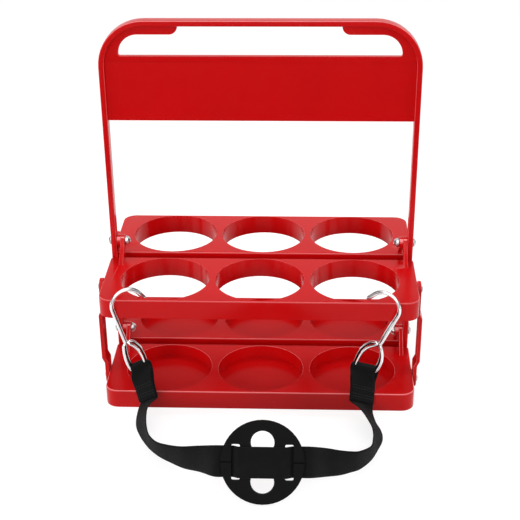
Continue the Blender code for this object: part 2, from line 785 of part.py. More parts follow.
def loop_run(left, lean, tail):
    """Direction of a sewn loop from its eye down to its tail."""
    low, high = (Vector(point) for point in tail)
    outer, inner = eye_bar(left, lean)[0]
    return ((low + high) / 2 - (outer + inner) / 2).normalized()


def strap_loop(name, left, lean, tail):
    """The strap's end folded through the eye: from the sewn tail up one side, over the wire and down."""
    (outer, inner), side = eye_bar(left, lean)
    down = -(inner - outer).cross(side).normalized()
    low, high = (Vector(point) for point in tail)
    run = loop_run(left, lean, tail)
    tail_side = run.cross(high - low).normalized()
    if tail_side.dot(side) < 0:
        tail_side = -tail_side
    half = WEBBING_THICKNESS / 2
    around = WIRE_RADIUS + WEBBING_GAP + half
    beside = EYE_SPACING / 2 + around
    sewn = half + WEBBING_GAP / 2
    top_middle = (outer + inner) / 2 + down * around
    tail_middle = (low + high) / 2 - run * WEBBING_GAP
    columns = []
    for column in range(LOOP_COLUMNS + 1):
        share = column / LOOP_COLUMNS
        bar = outer.lerp(inner, share)
        flank = [(bar - down * around, Vector())]
        for step in range(LOOP_BEND_STEPS + 1):
            bend = math.pi / 2 * step / LOOP_BEND_STEPS
            flank.append((bar - down * (around * math.cos(bend)),
                          side * (EYE_SPACING / 2 + around * math.sin(bend))))
        start = bar + down * around
        end = low.lerp(high, share) - run * WEBBING_GAP
        for row in range(LOOP_ROWS + 1):
            along = row / LOOP_ROWS
            closed = min(along / LOOP_SEWN_SHARE, 1)
            ease = closed * closed * (3 - 2 * closed)
            offset = side.lerp(tail_side, ease) * (beside + (sewn - beside) * ease)
            spread = 1 - (1 - along) ** 3
            core = top_middle.lerp(tail_middle, along)
            flank.append((core + (start - top_middle).lerp(end - tail_middle, spread), offset))
        columns.append([centre + offset for centre, offset in flank[:0:-1]]
                       + [centre - offset for centre, offset in flank])
    rows = [list(row) for row in zip(*columns)]
    return webbing(name, rows)


def disc_pose():
    """Place, height direction and front direction of the disc, leaning back on the floor."""
    height = Vector((0, math.sin(DISC_TILT), math.cos(DISC_TILT)))
    front = Vector((0, -math.cos(DISC_TILT), math.sin(DISC_TILT)))
    lift = DISC_RADIUS * height.z + DISC_THICKNESS / 2 * front.z
    return Vector((DISC_X, DISC_Y, lift)), height, front


def strap_disc():
    """The disc: two strap slots open to the rim by a slit, two finger holes."""
    far = SLOT_NEAR + SLOT_WIDTH
    slots = []
    for sign in (-1, 1):
        corners = [
            (sign * SLOT_NEAR, -SLOT_HALF_HEIGHT, SLOT_CORNER), (sign * far, -SLOT_HALF_HEIGHT, SLOT_CORNER),
            (sign * far, SLOT_HALF_HEIGHT, SLOT_CORNER), (sign * SLOT_NEAR, SLOT_HALF_HEIGHT, SLOT_CORNER),
        ]
        slots.append(fillet_loop(corners, CORNER_STEPS // 2))
    fingers = [
        circle_loop(0, sign * FINGER_HOLE_OFFSET, FINGER_HOLE_RADIUS, FINGER_HOLE_SIDES) for sign in (-1, 1)
    ]
    half = DISC_THICKNESS / 2
    outline = [circle_loop(0, 0, DISC_RADIUS, DISC_SIDES)] + slots + fingers
    obj = add_part("strap_disc", prism("strap_disc", outline, "XY", -half, half), black_plastic())
    inner = far - SLOT_WIDTH / 2
    outer = DISC_RADIUS + CUT_OVERRUN
    slit = SLIT_WIDTH / 2
    slits = merged("disc_slits", [
        prism("slit", [[(sign * inner, -slit), (sign * outer, -slit), (sign * outer, slit), (sign * inner, slit)]],
              "XY", -half - CUT_OVERRUN, half + CUT_OVERRUN)
        for sign in (-1, 1)
    ])
    cutter = add_cutter("disc_slits", slits)
    boolean(obj, cutter, "DIFFERENCE")
    for item in (obj, cutter):
        item.location = disc_pose()[0]
        item.rotation_euler.x = math.pi / 2 - DISC_TILT
    smooth(obj.data)


def through_disc():
    """The strap's two edges at the disc: behind its rims, through the slots and across its front."""
    centre, height, front = disc_pose()
    clear = DISC_THICKNESS / 2 + WEBBING_GAP + WEBBING_THICKNESS / 2
    margin = clear - DISC_THICKNESS / 2
    enter = SLOT_NEAR + SLOT_WIDTH - margin / 2
    leave = SLOT_NEAR + margin / 2
    crossing = [enter + (leave - enter) * step / SLOT_STEPS for step in range(SLOT_STEPS + 1)]
    half_run = [DISC_RADIUS + DISC_LEAD, (DISC_RADIUS + enter) / 2] + crossing + [leave / 2]
    places = [-x for x in half_run] + [0] + half_run[::-1]
    stations = []
    for x in places:
        share = min(max((enter - abs(x)) / (enter - leave), 0), 1)
        off = clear * (2 * share * share * (3 - 2 * share) - 1)
        point = centre + Vector((x, 0, 0)) + front * off
        stations.append((point - height * STRAP_WIDTH / 2, point + height * STRAP_WIDTH / 2))
    return stations


def smooth_route(points, steps):
    """A smooth curve through the points, with the given number of steps in each of its spans."""
    route = []
    for index, count in enumerate(steps):
        before = points[max(index - 1, 0)]
        start = points[index]
        end = points[index + 1]
        after = points[min(index + 2, len(points) - 1)]
        for step in range(count):
            t = step / count
            route.append(
                start
                + (end - before) * (t / 2)
                + (2 * before - 5 * start + 4 * end - after) * (t * t / 2)
                + (3 * start - before - 3 * end + after) * (t * t * t / 2)
            )
    return route + [points[-1]]


def strap_end(left, lean, tail):
    """The strap's first two stations: it leaves its sewn loop in the loop's own direction."""
    low, high = (Vector(point) for point in tail)
    step = loop_run(left, lean, tail) * STRAP_LEAD
    return [(low, high), (low + step, high + step)]


def strap():
    """The free webbing between the two sewn loops, standing on its edge and threaded through the disc."""
    left = [(Vector(low), Vector(high)) for low, high in STRAP_LEFT[1:]]
    right = [(Vector(low), Vector(high)) for low, high in STRAP_RIGHT[:-1]]
    start = strap_end(True, LEFT_HOOK_LEAN, STRAP_LEFT[0])
    finish = strap_end(False, RIGHT_HOOK_LEAN, STRAP_RIGHT[-1])[::-1]
    middle = through_disc()
    stations = start + left + middle + right + finish
    free = [STRAP_STEPS] * (len(left) + 1)
    steps = [1] + free + [1] * (len(middle) - 1) + [STRAP_STEPS] * (len(right) + 1) + [1]
    lows = smooth_route([low for low, high in stations], steps)
    for low in lows:
        low.z = max(low.z, STRAP_FLOOR_GAP)
    highs = smooth_route([high for low, high in stations], steps)
    webbing("strap", [[low, (low + high) / 2, high] for low, high in zip(lows, highs)])


def strap_and_hooks():
    """The two hooks on the front rack's lip, the sewn loops, the free strap and the disc on it."""
    rack_front = bpy.data.objects["upper_front_rack"]
    for side, tail in (("left", STRAP_LEFT[0]), ("right", STRAP_RIGHT[-1])):
        left = side == "left"
        lean = LEFT_HOOK_LEAN if left else RIGHT_HOOK_LEAN
        carried_by(hook(f"hook_{side}", left, lean), rack_front)
        carried_by(strap_loop(f"strap_loop_{side}", left, lean, tail), rack_front)
    strap()
    strap_disc()


def main():
    empty_scene()
    handle_frame()
    racks()
    links()
    rivets()
    strap_and_hooks()


main()
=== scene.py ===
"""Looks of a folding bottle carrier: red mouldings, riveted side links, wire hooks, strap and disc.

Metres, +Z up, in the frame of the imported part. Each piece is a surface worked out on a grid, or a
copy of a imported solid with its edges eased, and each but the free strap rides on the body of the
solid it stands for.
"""

import json
import math

import bmesh
import bpy
import numpy as np
from bpy.props import FloatProperty, FloatVectorProperty, PointerProperty
from mathutils import Matrix, Vector


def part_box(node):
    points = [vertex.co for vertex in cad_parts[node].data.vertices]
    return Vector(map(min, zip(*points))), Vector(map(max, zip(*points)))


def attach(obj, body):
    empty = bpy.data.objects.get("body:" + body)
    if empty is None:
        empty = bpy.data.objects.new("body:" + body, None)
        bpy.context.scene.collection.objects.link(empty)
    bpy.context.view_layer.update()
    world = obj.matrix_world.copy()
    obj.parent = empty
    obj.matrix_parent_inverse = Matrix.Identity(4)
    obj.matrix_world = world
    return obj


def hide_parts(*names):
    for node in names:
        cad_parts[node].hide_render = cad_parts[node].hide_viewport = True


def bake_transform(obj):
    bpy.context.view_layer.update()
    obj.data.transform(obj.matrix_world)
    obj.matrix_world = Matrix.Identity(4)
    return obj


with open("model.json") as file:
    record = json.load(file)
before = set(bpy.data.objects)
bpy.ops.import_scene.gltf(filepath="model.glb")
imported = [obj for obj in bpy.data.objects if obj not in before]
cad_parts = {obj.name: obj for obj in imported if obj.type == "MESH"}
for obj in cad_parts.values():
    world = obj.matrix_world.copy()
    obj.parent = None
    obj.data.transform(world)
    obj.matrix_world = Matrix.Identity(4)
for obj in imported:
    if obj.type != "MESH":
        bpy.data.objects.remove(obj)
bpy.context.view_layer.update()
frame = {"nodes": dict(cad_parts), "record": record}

bl_info = {
    "name": "Folding Bottle Carrier",
    "version": (1, 0, 0),
    "blender": (4, 5, 0),
    "location": "View3D > Sidebar > Carrier",
    "description": "Builds the looks of a folding bottle carrier with its hooked strap",
    "category": "Add Mesh",
}

NODES = frame["nodes"]
BODY_OF = {
    node: body
    for body, nodes in frame["record"]["behaviour"]["bodies"].items()
    for node in nodes
}

# Lower and upper edge of the strap, from the left hook's loop to the disc, as in the part
STRAP_LEFT = np.array([
    ((-0.1265, -0.1132, 0.0138), (-0.1063, -0.1215, 0.0280)),
    ((-0.1280, -0.1168, 0.0055), (-0.1095, -0.1275, 0.0245)),
    ((-0.1289, -0.1285, 0.0004), (-0.1135, -0.1374, 0.0244)),
    ((-0.1266, -0.1429, 0.0004), (-0.1134, -0.1520, 0.0257)),
    ((-0.1216, -0.1561, 0.0004), (-0.1122, -0.1650, 0.0269)),
    ((-0.1164, -0.1664, 0.0004), (-0.1103, -0.1770, 0.0272)),
    ((-0.1075, -0.1803, 0.0004), (-0.1062, -0.1915, 0.0275)),
    ((-0.0963, -0.1926, 0.0004), (-0.0975, -0.2035, 0.0280)),
    ((-0.0844, -0.2024, 0.0012), (-0.0860, -0.2110, 0.0298)),
    ((-0.0694, -0.2164, 0.0050), (-0.0713, -0.2202, 0.0346)),
    ((-0.0527, -0.2306, 0.0120), (-0.0540, -0.2278, 0.0412)),
])
# and from the disc to the right hook's loop
STRAP_RIGHT = np.array([
    ((0.0700, -0.2330, 0.0105), (0.0695, -0.2265, 0.0398)),
    ((0.0835, -0.2225, 0.0045), (0.0820, -0.2220, 0.0343)),
    ((0.0940, -0.2140, 0.0015), (0.0925, -0.2190, 0.0310)),
    ((0.1039, -0.2069, 0.0004), (0.1023, -0.2155, 0.0290)),
    ((0.1150, -0.1927, 0.0004), (0.1138, -0.2050, 0.0278)),
    ((0.1232, -0.1742, 0.0004), (0.1165, -0.1890, 0.0260)),
    ((0.1277, -0.1621, 0.0004), (0.1169, -0.1770, 0.0245)),
    ((0.1290, -0.1517, 0.0004), (0.1160, -0.1660, 0.0235)),
    ((0.1276, -0.1409, 0.0004), (0.1135, -0.1550, 0.0225)),
    ((0.1235, -0.1285, 0.0008), (0.1094, -0.1428, 0.0228)),
    ((0.1204, -0.1186, 0.0065), (0.1035, -0.1340, 0.0250)),
    ((0.1206, -0.1128, 0.0146), (0.0955, -0.1205, 0.0265)),
])
# Where the free strap meets each sewn end: lower and upper edge
TAILS = {"left": STRAP_LEFT[0], "right": STRAP_RIGHT[-1]}

# Racks, as in the part
HOLE_PITCH = 0.100
OUTER_EDGE = 0.1043
RACK_HEIGHT = 0.0212
RACK_TOP_Z = 0.1312

# Hooks: how far the bend's centre is outside the outer hole's, and how far the hook leans
HOOK_SHIFT = {"left": 0.0345, "right": 0.0286}
HOOK_LEAN = {"left": math.radians(-2.5), "right": math.radians(7)}
HOOK_YAW = math.radians(27)
HOOK_SINK = 0.005
HOOK_GAP = 0.0004
HOOK_FORWARD = 0.0008
BEND_RADIUS = 0.0162
BEND_SWEEP = math.radians(198)
BEND_STEPS = 13
TIP_START = math.radians(40)
TIP_LENGTH = 0.0085
SHAFT_LENGTH = 0.0425
SHAFT_SHARES = np.array([[0.08], [0.5], [0.92]])
# The plain wires of the part, and how the two strands here stand apart
SOLID_WIRE_RADIUS = 0.00125
SOLID_STRAND_SPACING = 0.0028
STRAND_SPACING = 0.0021
STRAND_SPLAY = 0.0022
EYE_SPACING = 0.0040
EYE_SPLAY = 0.0018
EYE_STEP = 0.0003
WIRE_SIDES = 18
WIRE_STEPS = 6
# Outline of each eye, and the ends of the line that its loop is folded round: both are across
# and up from the shaft's end
EYES = {
    "left": [
        (-0.0012, -0.0025), (-0.0012, -0.0060), (-0.0008, -0.0110), (0.0006, -0.0185),
        (0.0026, -0.0250), (0.0054, -0.0312), (0.0082, -0.0342), (0.0120, -0.0350),
        (0.0165, -0.0346), (0.0200, -0.0330), (0.0214, -0.0296), (0.0202, -0.0240),
        (0.0182, -0.0180), (0.0148, -0.0110), (0.0098, -0.0048), (0.0060, -0.0015),
        (0.0035, 0.0),
    ],
    "right": [
        (-0.0015, -0.0042), (-0.0035, -0.0108), (-0.0040, -0.0180), (-0.0028, -0.0255),
        (-0.0006, -0.0310), (0.0030, -0.0352), (0.0080, -0.0382), (0.0140, -0.0398),
        (0.0195, -0.0402), (0.0226, -0.0376), (0.0228, -0.0325), (0.0216, -0.0256),
        (0.0194, -0.0182), (0.0162, -0.0118), (0.0118, -0.0062), (0.0072, -0.0025),
        (0.0036, 0.0),
    ],
}
LOOP_LINES = {
    "left": [(0.0040, -0.0335), (0.0236, -0.0280)],
    "right": [(-0.0020, -0.0320), (0.0262, -0.0372)],
}
# Rings of a wire's domed end: their radius and how far they stand out, as shares of the wire's
END_DOME = np.array([0.94, 0.72, 0.38, 0.0])
END_RISE = np.array([0.34, 0.69, 0.92, 1.0])

# Webbing and its sewn ends
WEBBING_THICKNESS = 0.0016
WEBBING_WIDTH = 0.030
WEBBING_GAP = 0.0004
EDGE_POWER = 10
LOOP_COLUMNS = 25
LOOP_ROWS = 40
LOOP_BEND_ROWS = 9
LOOP_CORNER_RISE = 0.0005
LOOP_SEWN_SHARE = 0.6
LOOP_OVERLAP = 0.0012
LOOP_SPREAD_POWER = 6
LOOP_SWELL_START = 0.05
LOOP_SWELL_LENGTH = 0.42
# How far a loop's outer and inner corner flare out and up near the eye, on each of its layers
LOOP_FLARE = {
    "left": {"near": ((0.002, 0.002), (0.0, 0.0)), "far": ((0.0, 0.005), (0.0, 0.003))},
    "right": {"near": ((-0.001, 0.001), (0.0, 0.0)), "far": ((0.001, 0.003), (0.0, 0.001))},
}
STRAP_LEAD = 0.003
STRAP_STEPS = 8
STRAP_FLOOR_GAP = 0.0003
STITCH_ROWS = (5, 8, 15, 18)
STITCH_MARGIN = 0.003
STITCH_ROOM = 0.004
STITCH_PITCH = 1.35
STITCH_SIDES = 6
STITCH_SHARES = np.array([-0.5, -0.3, 0.0, 0.3, 0.5])
STITCH_GIRTH = np.array([0.15, 0.8, 1.0, 0.8, 0.15]) * 0.00032
STITCH_LIFT = 0.00008

# Disc on the strap
DISC_RADIUS = 0.040
DISC_THICKNESS = 0.0036
DISC_X = 0.009
DISC_Y = -0.246
DISC_TILT = math.radians(27)
DISC_EDGE = 0.0005
SLOT_NEAR = 0.0214
SLOT_WIDTH = 0.0081
DISC_LEAD = 0.006
SLOT_STEPS = 8

# Rivets of the hinges and of the links: radius and rise of each head, and radius of the shank
RIVETS = {
    "pivot": {"inside": (0.005, 0.0058), "outside": (0.0046, 0.0032), "shank": 0.0025},
    "link": {"inside": (0.0039, 0.002), "outside": (0.0034, 0.0016), "shank": 0.002},
}
RIVET_SIDES = 32
DOME_STEPS = 10
DOME_RIM = 0.12
DOME_EDGE = 0.97

# Easing of the mouldings: the angles past which faces stay apart, an edge is bevelled and an edge
# is shaded sharp, the widest face that counts as an eased edge, and the colour of that edge's
# painted highlight
MERGED_ANGLE = math.radians(0.6)
BEVELLED_ANGLE = math.radians(28)
CREASE_ANGLE = math.radians(40)
MERGED_GAP = 0.00001
BEVEL_STEPS = 3
NARROW_FACE = 0.0016
EDGE_HIGHLIGHT_COLOUR = (1.0, 0.30, 0.31, 1)

# The camera, fitted to the photograph
VIEW_TARGET = np.array([-0.001908, 0.0, 0.125584])
VIEW_DISTANCE = 1.27087
VIEW_ELEVATION = math.radians(26.953)
VIEW_AZIMUTH = math.radians(2.463)
VIEW_ROLL = math.radians(-0.59)
VIEW_LENS = 80.0

# Studio: level of the even light, and each lamp's name, place, aim, power, breadth and depth
AMBIENT = 0.56
LAMPS = (
    ("key_softbox", (-0.15, -1.0, 1.95), (0, 0, 0.15), 5.0, 1.6, 0.8),
    ("left_softbox", (-1.7, -0.4, 0.6), (0, 0, 0.1), 10.0, 0.9, 0.5),
    ("right_softbox", (1.7, -0.4, 0.6), (0, 0, 0.1), 10.0, 0.9, 0.5),
    ("front_softbox", (-0.5, -2.2, 0.55), (0, 0, 0.1), 16.5, 0.8, 0.8),
    ("rear_softbox", (0.0, 0.45, 0.75), (0, 0, 0.15), 3.0, 0.8, 0.3),
)


# Sizes and colours


class CarrierSizes(bpy.types.PropertyGroup):
    """Sizes of the carrier's visible details."""

    edge_round: FloatProperty(
        name="Edge round", description="Radius on the edges of the red mouldings",
        default=0.0013, min=0.0001, max=0.002, unit="LENGTH",
    )
    wire_radius: FloatProperty(
        name="Wire radius", description="Radius of the hooks' wire",
        default=0.0015, min=0.0005, max=0.003, unit="LENGTH",
    )
    webbing_thickness: FloatProperty(
        name="Webbing thickness", description="Thickness of the elastic webbing",
        default=WEBBING_THICKNESS, min=0.0005, max=0.004, unit="LENGTH",
    )
    webbing_width: FloatProperty(
        name="Webbing width", description="Width of the elastic webbing",
        default=WEBBING_WIDTH, min=0.01, max=0.06, unit="LENGTH",
    )
    stitch_length: FloatProperty(
        name="Stitch length", description="Length of one stitch on the sewn ends",
        default=0.0022, min=0.001, max=0.006, unit="LENGTH",
    )


class CarrierColours(bpy.types.PropertyGroup):
    """Colours of the carrier's finishes."""

    moulding: FloatVectorProperty(
        name="Mouldings", description="Red of the moulded plastic", subtype="COLOR",
        size=3, min=0, max=1, default=(0.56, 0.003, 0.004),
    )
    webbing: FloatVectorProperty(
        name="Webbing", description="Black of the elastic webbing", subtype="COLOR",
        size=3, min=0, max=1, default=(0.0062, 0.0062, 0.0066),
    )
    disc: FloatVectorProperty(
        name="Disc", description="Black of the disc on the strap", subtype="COLOR",
        size=3, min=0, max=1, default=(0.0028, 0.0028, 0.0031),
    )
    wire: FloatVectorProperty(
        name="Wire", description="Plated wire of the hooks", subtype="COLOR",
        size=3, min=0, max=1, default=(0.88, 0.88, 0.89),
    )
    rivet: FloatVectorProperty(
        name="Rivets", description="Steel of the rivets", subtype="COLOR",
        size=3, min=0, max=1, default=(0.60, 0.60, 0.61),
    )
    floor: FloatVectorProperty(
        name="Floor", description="Floor under the carrier", subtype="COLOR",
        size=3, min=0, max=1, default=(0.34, 0.34, 0.34),
    )


# Shader nodes


def feed(tree, socket, value):
    """Link a socket to another one, or set it to a plain value."""
    if isinstance(value, bpy.types.NodeSocket):
        tree.links.new(value, socket)
    else:
        socket.default_value = value


def add_node(tree, kind, **values):
    """A shader node with its settings and sockets; an underscore in a name stands for a space."""
    node = tree.nodes.new(kind)
    for name, value in values.items():
        if hasattr(node, name):
            setattr(node, name, value)
        else:
            feed(tree, node.inputs[name.replace("_", " ")], value)
    return node


def maths(tree, operation, *terms):
    """The result of a Math node on numbers and sockets."""
    node = add_node(tree, "ShaderNodeMath", operation=operation)
    for socket, term in zip(node.inputs, terms):
        feed(tree, socket, term)
    return node.outputs[0]


def ramp(tree, value, low, high, first=0.0, last=1.0, **values):
    """A value from low to high taken to one from first to last, and held outside that range."""
    node = add_node(tree, "ShaderNodeMapRange", Value=value, From_Min=low, From_Max=high,
                    To_Min=first, To_Max=last, **values)
    return node.outputs[0]


def noise(tree, vector, **values):
    """The result of a Noise Texture."""
    return add_node(tree, "ShaderNodeTexNoise", Vector=vector, **values).outputs["Fac"]


def shaded(tree, colour, shade):
    """A colour times a shade."""
    node = add_node(tree, "ShaderNodeVectorMath", operation="SCALE", Vector=colour, Scale=shade)
    return node.outputs[0]


def split(tree, vector):
    """The X, Y and Z outputs of a vector."""
    return add_node(tree, "ShaderNodeSeparateXYZ", Vector=vector).outputs


def coordinates(tree, kind):
    """One of the outputs of Texture Coordinate."""
    return tree.nodes.new("ShaderNodeTexCoord").outputs[kind]


def ray_kinds(tree):
    """Masks of the camera's own rays, and of those that a mirror or glass sends on."""
    rays = tree.nodes.new("ShaderNodeLightPath").outputs
    mirrored = maths(tree, "MAXIMUM", rays["Is Glossy Ray"], rays["Is Transmission Ray"])
    return rays["Is Camera Ray"], mirrored


def made_once(kind):
    """Decorator for a node group or material that is made once, under the function's name."""
    def kept(make):
        def find_or_make(*settings):
            return getattr(bpy.data, kind).get(make.__name__) or make(*settings)
        return find_or_make
    return kept


def effect_group(name, inputs, outputs):
    """An empty node group with named sockets: (group, its input sockets, its output sockets)."""
    group = bpy.data.node_groups.new(name, "ShaderNodeTree")
    for label, kind, value in inputs:
        socket = group.interface.new_socket(label, in_out="INPUT", socket_type=f"NodeSocket{kind}")
        if value is not None:
            socket.default_value = value
    for label, kind in outputs:
        group.interface.new_socket(label, in_out="OUTPUT", socket_type=f"NodeSocket{kind}")
    start, end = group.nodes.new("NodeGroupInput"), group.nodes.new("NodeGroupOutput")
    return group, start.outputs, end.inputs


@made_once("node_groups")
def moulded_grain():
    """Fine grain, faint flow marks and a slow mottle of a moulded surface."""
    group, given, result = effect_group("moulded_grain", [
        ("Position", "Vector", None),
        ("Colour", "Color", (0.5, 0.5, 0.5, 1)),
        ("Mottle", "Float", 0.08),
        ("Roughness", "Float", 0.3),
        ("Roughness Spread", "Float", 0.06),
        ("Grain Scale", "Float", 1400.0),
    ], [("Colour", "Color"), ("Roughness", "Float"), ("Height", "Float")])
    position = given["Position"]
    slow = noise(group, position, Scale=14.0, Detail=3.0, Roughness=0.55)
    fine = noise(group, position, Scale=given["Grain Scale"], Detail=2.0)
    ripple = noise(group, position, Scale=120.0, Detail=2.0, Roughness=0.4)
    patches = maths(group, "SUBTRACT", slow, 0.5)
    shade = maths(group, "MULTIPLY_ADD", patches, given["Mottle"], 1.0)
    feed(group, result["Colour"], shaded(group, given["Colour"], shade))
    smear = maths(group, "SUBTRACT", ripple, 0.5)
    rough = maths(group, "MULTIPLY_ADD", smear, given["Roughness Spread"], given["Roughness"])
    feed(group, result["Roughness"], rough)
    feed(group, result["Height"], maths(group, "MULTIPLY_ADD", fine, 0.25, ripple))
    return group


@made_once("node_groups")
def handling_marks():
    """Short hairline scuffs: two stretched noises, each kept where it is near its middle."""
    group, given, result = effect_group("handling_marks", [
        ("Position", "Vector", None),
        ("Amount", "Float", 0.3),
    ], [("Mask", "Float")])
    scuffs = []
    for turn, scale in ((0.5, 90.0), (1.9, 120.0)):
        stretched = add_node(group, "ShaderNodeMapping", Vector=given["Position"],
                             Rotation=(turn, turn * 0.7, turn), Scale=(1.0, 14.0, 14.0))
        hairs = noise(group, stretched.outputs[0], Scale=scale / 4, Detail=1.0)
        patches = noise(group, given["Position"], Scale=scale, Detail=0.0)
        near = maths(group, "COMPARE", hairs, 0.5, 0.006)
        scuffs.append(maths(group, "MULTIPLY", near, maths(group, "GREATER_THAN", patches, 0.58)))
    total = maths(group, "MAXIMUM", *scuffs)
    feed(group, result["Mask"], maths(group, "MULTIPLY", total, given["Amount"]))
    return group


@made_once("node_groups")
def plain_weave():
    """Woven elastic: the warp along its length and the weft across it pass over each other."""
    group, given, result = effect_group("plain_weave", [
        ("UV", "Vector", None),
        ("Warp Pitch", "Float", 0.0011),
        ("Weft Pitch", "Float", 0.0009),
    ], [("Height", "Float"), ("Shade", "Float")])
    place = split(group, given["UV"])
    waves = []
    for axis, pitch in (("X", "Warp Pitch"), ("Y", "Weft Pitch")):
        turns = maths(group, "DIVIDE", place[axis], given[pitch])
        waves.append(maths(group, "SINE", maths(group, "MULTIPLY", turns, math.pi)))
    over = maths(group, "MULTIPLY", *waves)
    threads = []
    for wave, share in zip(waves, (0.5, -0.5)):
        above = maths(group, "MULTIPLY_ADD", over, share, 0.5)
        threads.append(maths(group, "MULTIPLY", maths(group, "ABSOLUTE", wave), above))
    height = maths(group, "MAXIMUM", *threads)
    fuzz = noise(group, given["UV"], Scale=2600.0, Detail=2.0)
    feed(group, result["Height"], maths(group, "MULTIPLY_ADD", fuzz, 0.35, height))
    # painted shade: the colour is darker where the threads dip below the crossing ones, times a slow
    # random tone
    slow = noise(group, given["UV"], Scale=70.0, Detail=3.0)
    lift = maths(group, "MULTIPLY_ADD", height, 0.9, 0.35)
    patches = maths(group, "ADD", slow, 0.5)
    feed(group, result["Shade"], maths(group, "MULTIPLY", lift, patches))
    return group


def placed(tree, group, **values):
    """That effect group in a material, with its sockets set or linked."""
    return add_node(tree, "ShaderNodeGroup", node_tree=group, **values)


def finish_material(name, **constants):
    """A new Principled material: (material, its tree, its shader's sockets)."""
    material = bpy.data.materials.new(name)
    material.use_nodes = True
    sockets = material.node_tree.nodes["Principled BSDF"].inputs
    for label, value in constants.items():
        sockets[label.replace("_", " ")].default_value = value
    return material, material.node_tree, sockets


def relief(tree, sockets, height, strength, distance):
    """Height as a bump on the shader."""
    bump = add_node(tree, "ShaderNodeBump", Strength=strength, Distance=distance, Height=height)
    feed(tree, sockets["Normal"], bump.outputs[0])


def grained(tree, sockets, colour, bump, scuffs=0.0, **values):
    """Moulded grain as roughness and relief, with hairline scuffs: returns the grain's colour."""
    position = coordinates(tree, "Object")
    grain = placed(tree, moulded_grain(), Position=position, Colour=(*colour, 1), **values).outputs
    rough = grain["Roughness"]
    if scuffs:
        marks = placed(tree, handling_marks(), Position=position, Amount=scuffs)
        rough = maths(tree, "ADD", rough, marks.outputs["Mask"])
    feed(tree, sockets["Roughness"], rough)
    relief(tree, sockets, grain["Height"], *bump)
    return grain["Colour"]


@made_once("materials")
def glossy_moulding(colour):
    """Glossy moulded plastic with a soft grain, a few hairline scuffs and painted highlights on
    narrow edges.
    """
    material, tree, sockets = finish_material("glossy_moulding", IOR=1.27)
    plain = grained(tree, sockets, colour, (0.12, 0.00004), scuffs=0.03, Mottle=0.16,
                    Roughness=0.20, Roughness_Spread=0.12, Grain_Scale=1500.0)
    # painted highlight: the narrow eased edges are mixed towards a light pink
    edge = add_node(tree, "ShaderNodeAttribute", attribute_name="painted_edge_highlight").outputs["Fac"]
    highlighted = add_node(tree, "ShaderNodeMix", data_type="RGBA", A=plain, B=EDGE_HIGHLIGHT_COLOUR,
                        Factor=maths(tree, "MULTIPLY", edge, 0.95))
    feed(tree, sockets["Base Color"], highlighted.outputs["Result"])
    return material


@made_once("materials")
def plated_wire(colour):
    """Bright plated wire with faint drawing marks, and painted shade where a run faces the one
    beside it.
    """
    material, tree, sockets = finish_material("plated_wire", Metallic=1.0)
    bright = grained(tree, sockets, colour, (0.2, 0.00002), scuffs=0.25, Mottle=0.10,
                     Roughness=0.05, Roughness_Spread=0.06, Grain_Scale=2600.0)
    # painted shade: the colour goes nearly black on the side of each strand that faces the other run
    towards = split(tree, coordinates(tree, "UV"))["X"]
    crevice = ramp(tree, towards, 0.40, 0.72, 1.0, 0.01, interpolation_type="SMOOTHSTEP")
    feed(tree, sockets["Base Color"], shaded(tree, bright, crevice))
    return material


@made_once("materials")
def rivet_steel_finish(colour):
    """Plain steel of a set rivet, with the marks of the setting tool."""
    material, tree, sockets = finish_material("rivet_steel_finish", Metallic=1.0)
    steel = grained(tree, sockets, colour, (0.5, 0.0001), Mottle=0.3,
                    Roughness=0.26, Roughness_Spread=0.25, Grain_Scale=1800.0)
    feed(tree, sockets["Base Color"], steel)
    return material


@made_once("materials")
def woven_elastic(colour):
    """Black elastic webbing: the weave's relief, painted shade in its dips, and a soft sheen."""
    material, tree, sockets = finish_material(
        "woven_elastic", Roughness=0.85, Sheen_Weight=0.03, Sheen_Roughness=0.4,
        Specular_IOR_Level=0.12,
    )
    weave = placed(tree, plain_weave(), UV=coordinates(tree, "UV")).outputs
    # painted shade of the weave's dips on the webbing's black
    feed(tree, sockets["Base Color"], shaded(tree, colour, weave["Shade"]))
    relief(tree, sockets, weave["Height"], 0.9, 0.00035)
    return material


@made_once("materials")
def sewing_thread(colour):
    """Twisted black thread of the stitches."""
    material, tree, sockets = finish_material("sewing_thread", Roughness=0.6)
    grain = placed(tree, moulded_grain(), Position=coordinates(tree, "Object"),
                   Colour=(*colour, 1), Mottle=0.8, Grain_Scale=5000.0).outputs
    feed(tree, sockets["Base Color"], grain["Colour"])
    relief(tree, sockets, grain["Height"], 0.6, 0.0001)
    return material


@made_once("materials")
def satin_moulding(colour):
    """Satin black plastic of the disc, with the texture of its mould."""
    material, tree, sockets = finish_material("satin_moulding", IOR=1.36, Specular_IOR_Level=0.1)
    black = grained(tree, sockets, colour, (0.5, 0.00012), scuffs=0.12, Mottle=0.5,
                    Roughness=0.46, Roughness_Spread=0.12, Grain_Scale=1800.0)
    feed(tree, sockets["Base Color"], black)
    return material


def studio_floor(colour):
    """Pale floor that keeps the shadow: its own light is only for the camera and for mirrors."""
    material, tree, sockets = finish_material(
        "studio_floor", Base_Color=(*colour, 1), Roughness=0.9, Specular_IOR_Level=0.1,
        Emission_Color=(1, 1, 1, 1),
    )
    seen = maths(tree, "MAXIMUM", *ray_kinds(tree))
    feed(tree, sockets["Emission Strength"], maths(tree, "MULTIPLY", seen, 0.78))
    return material


# Surfaces on grids


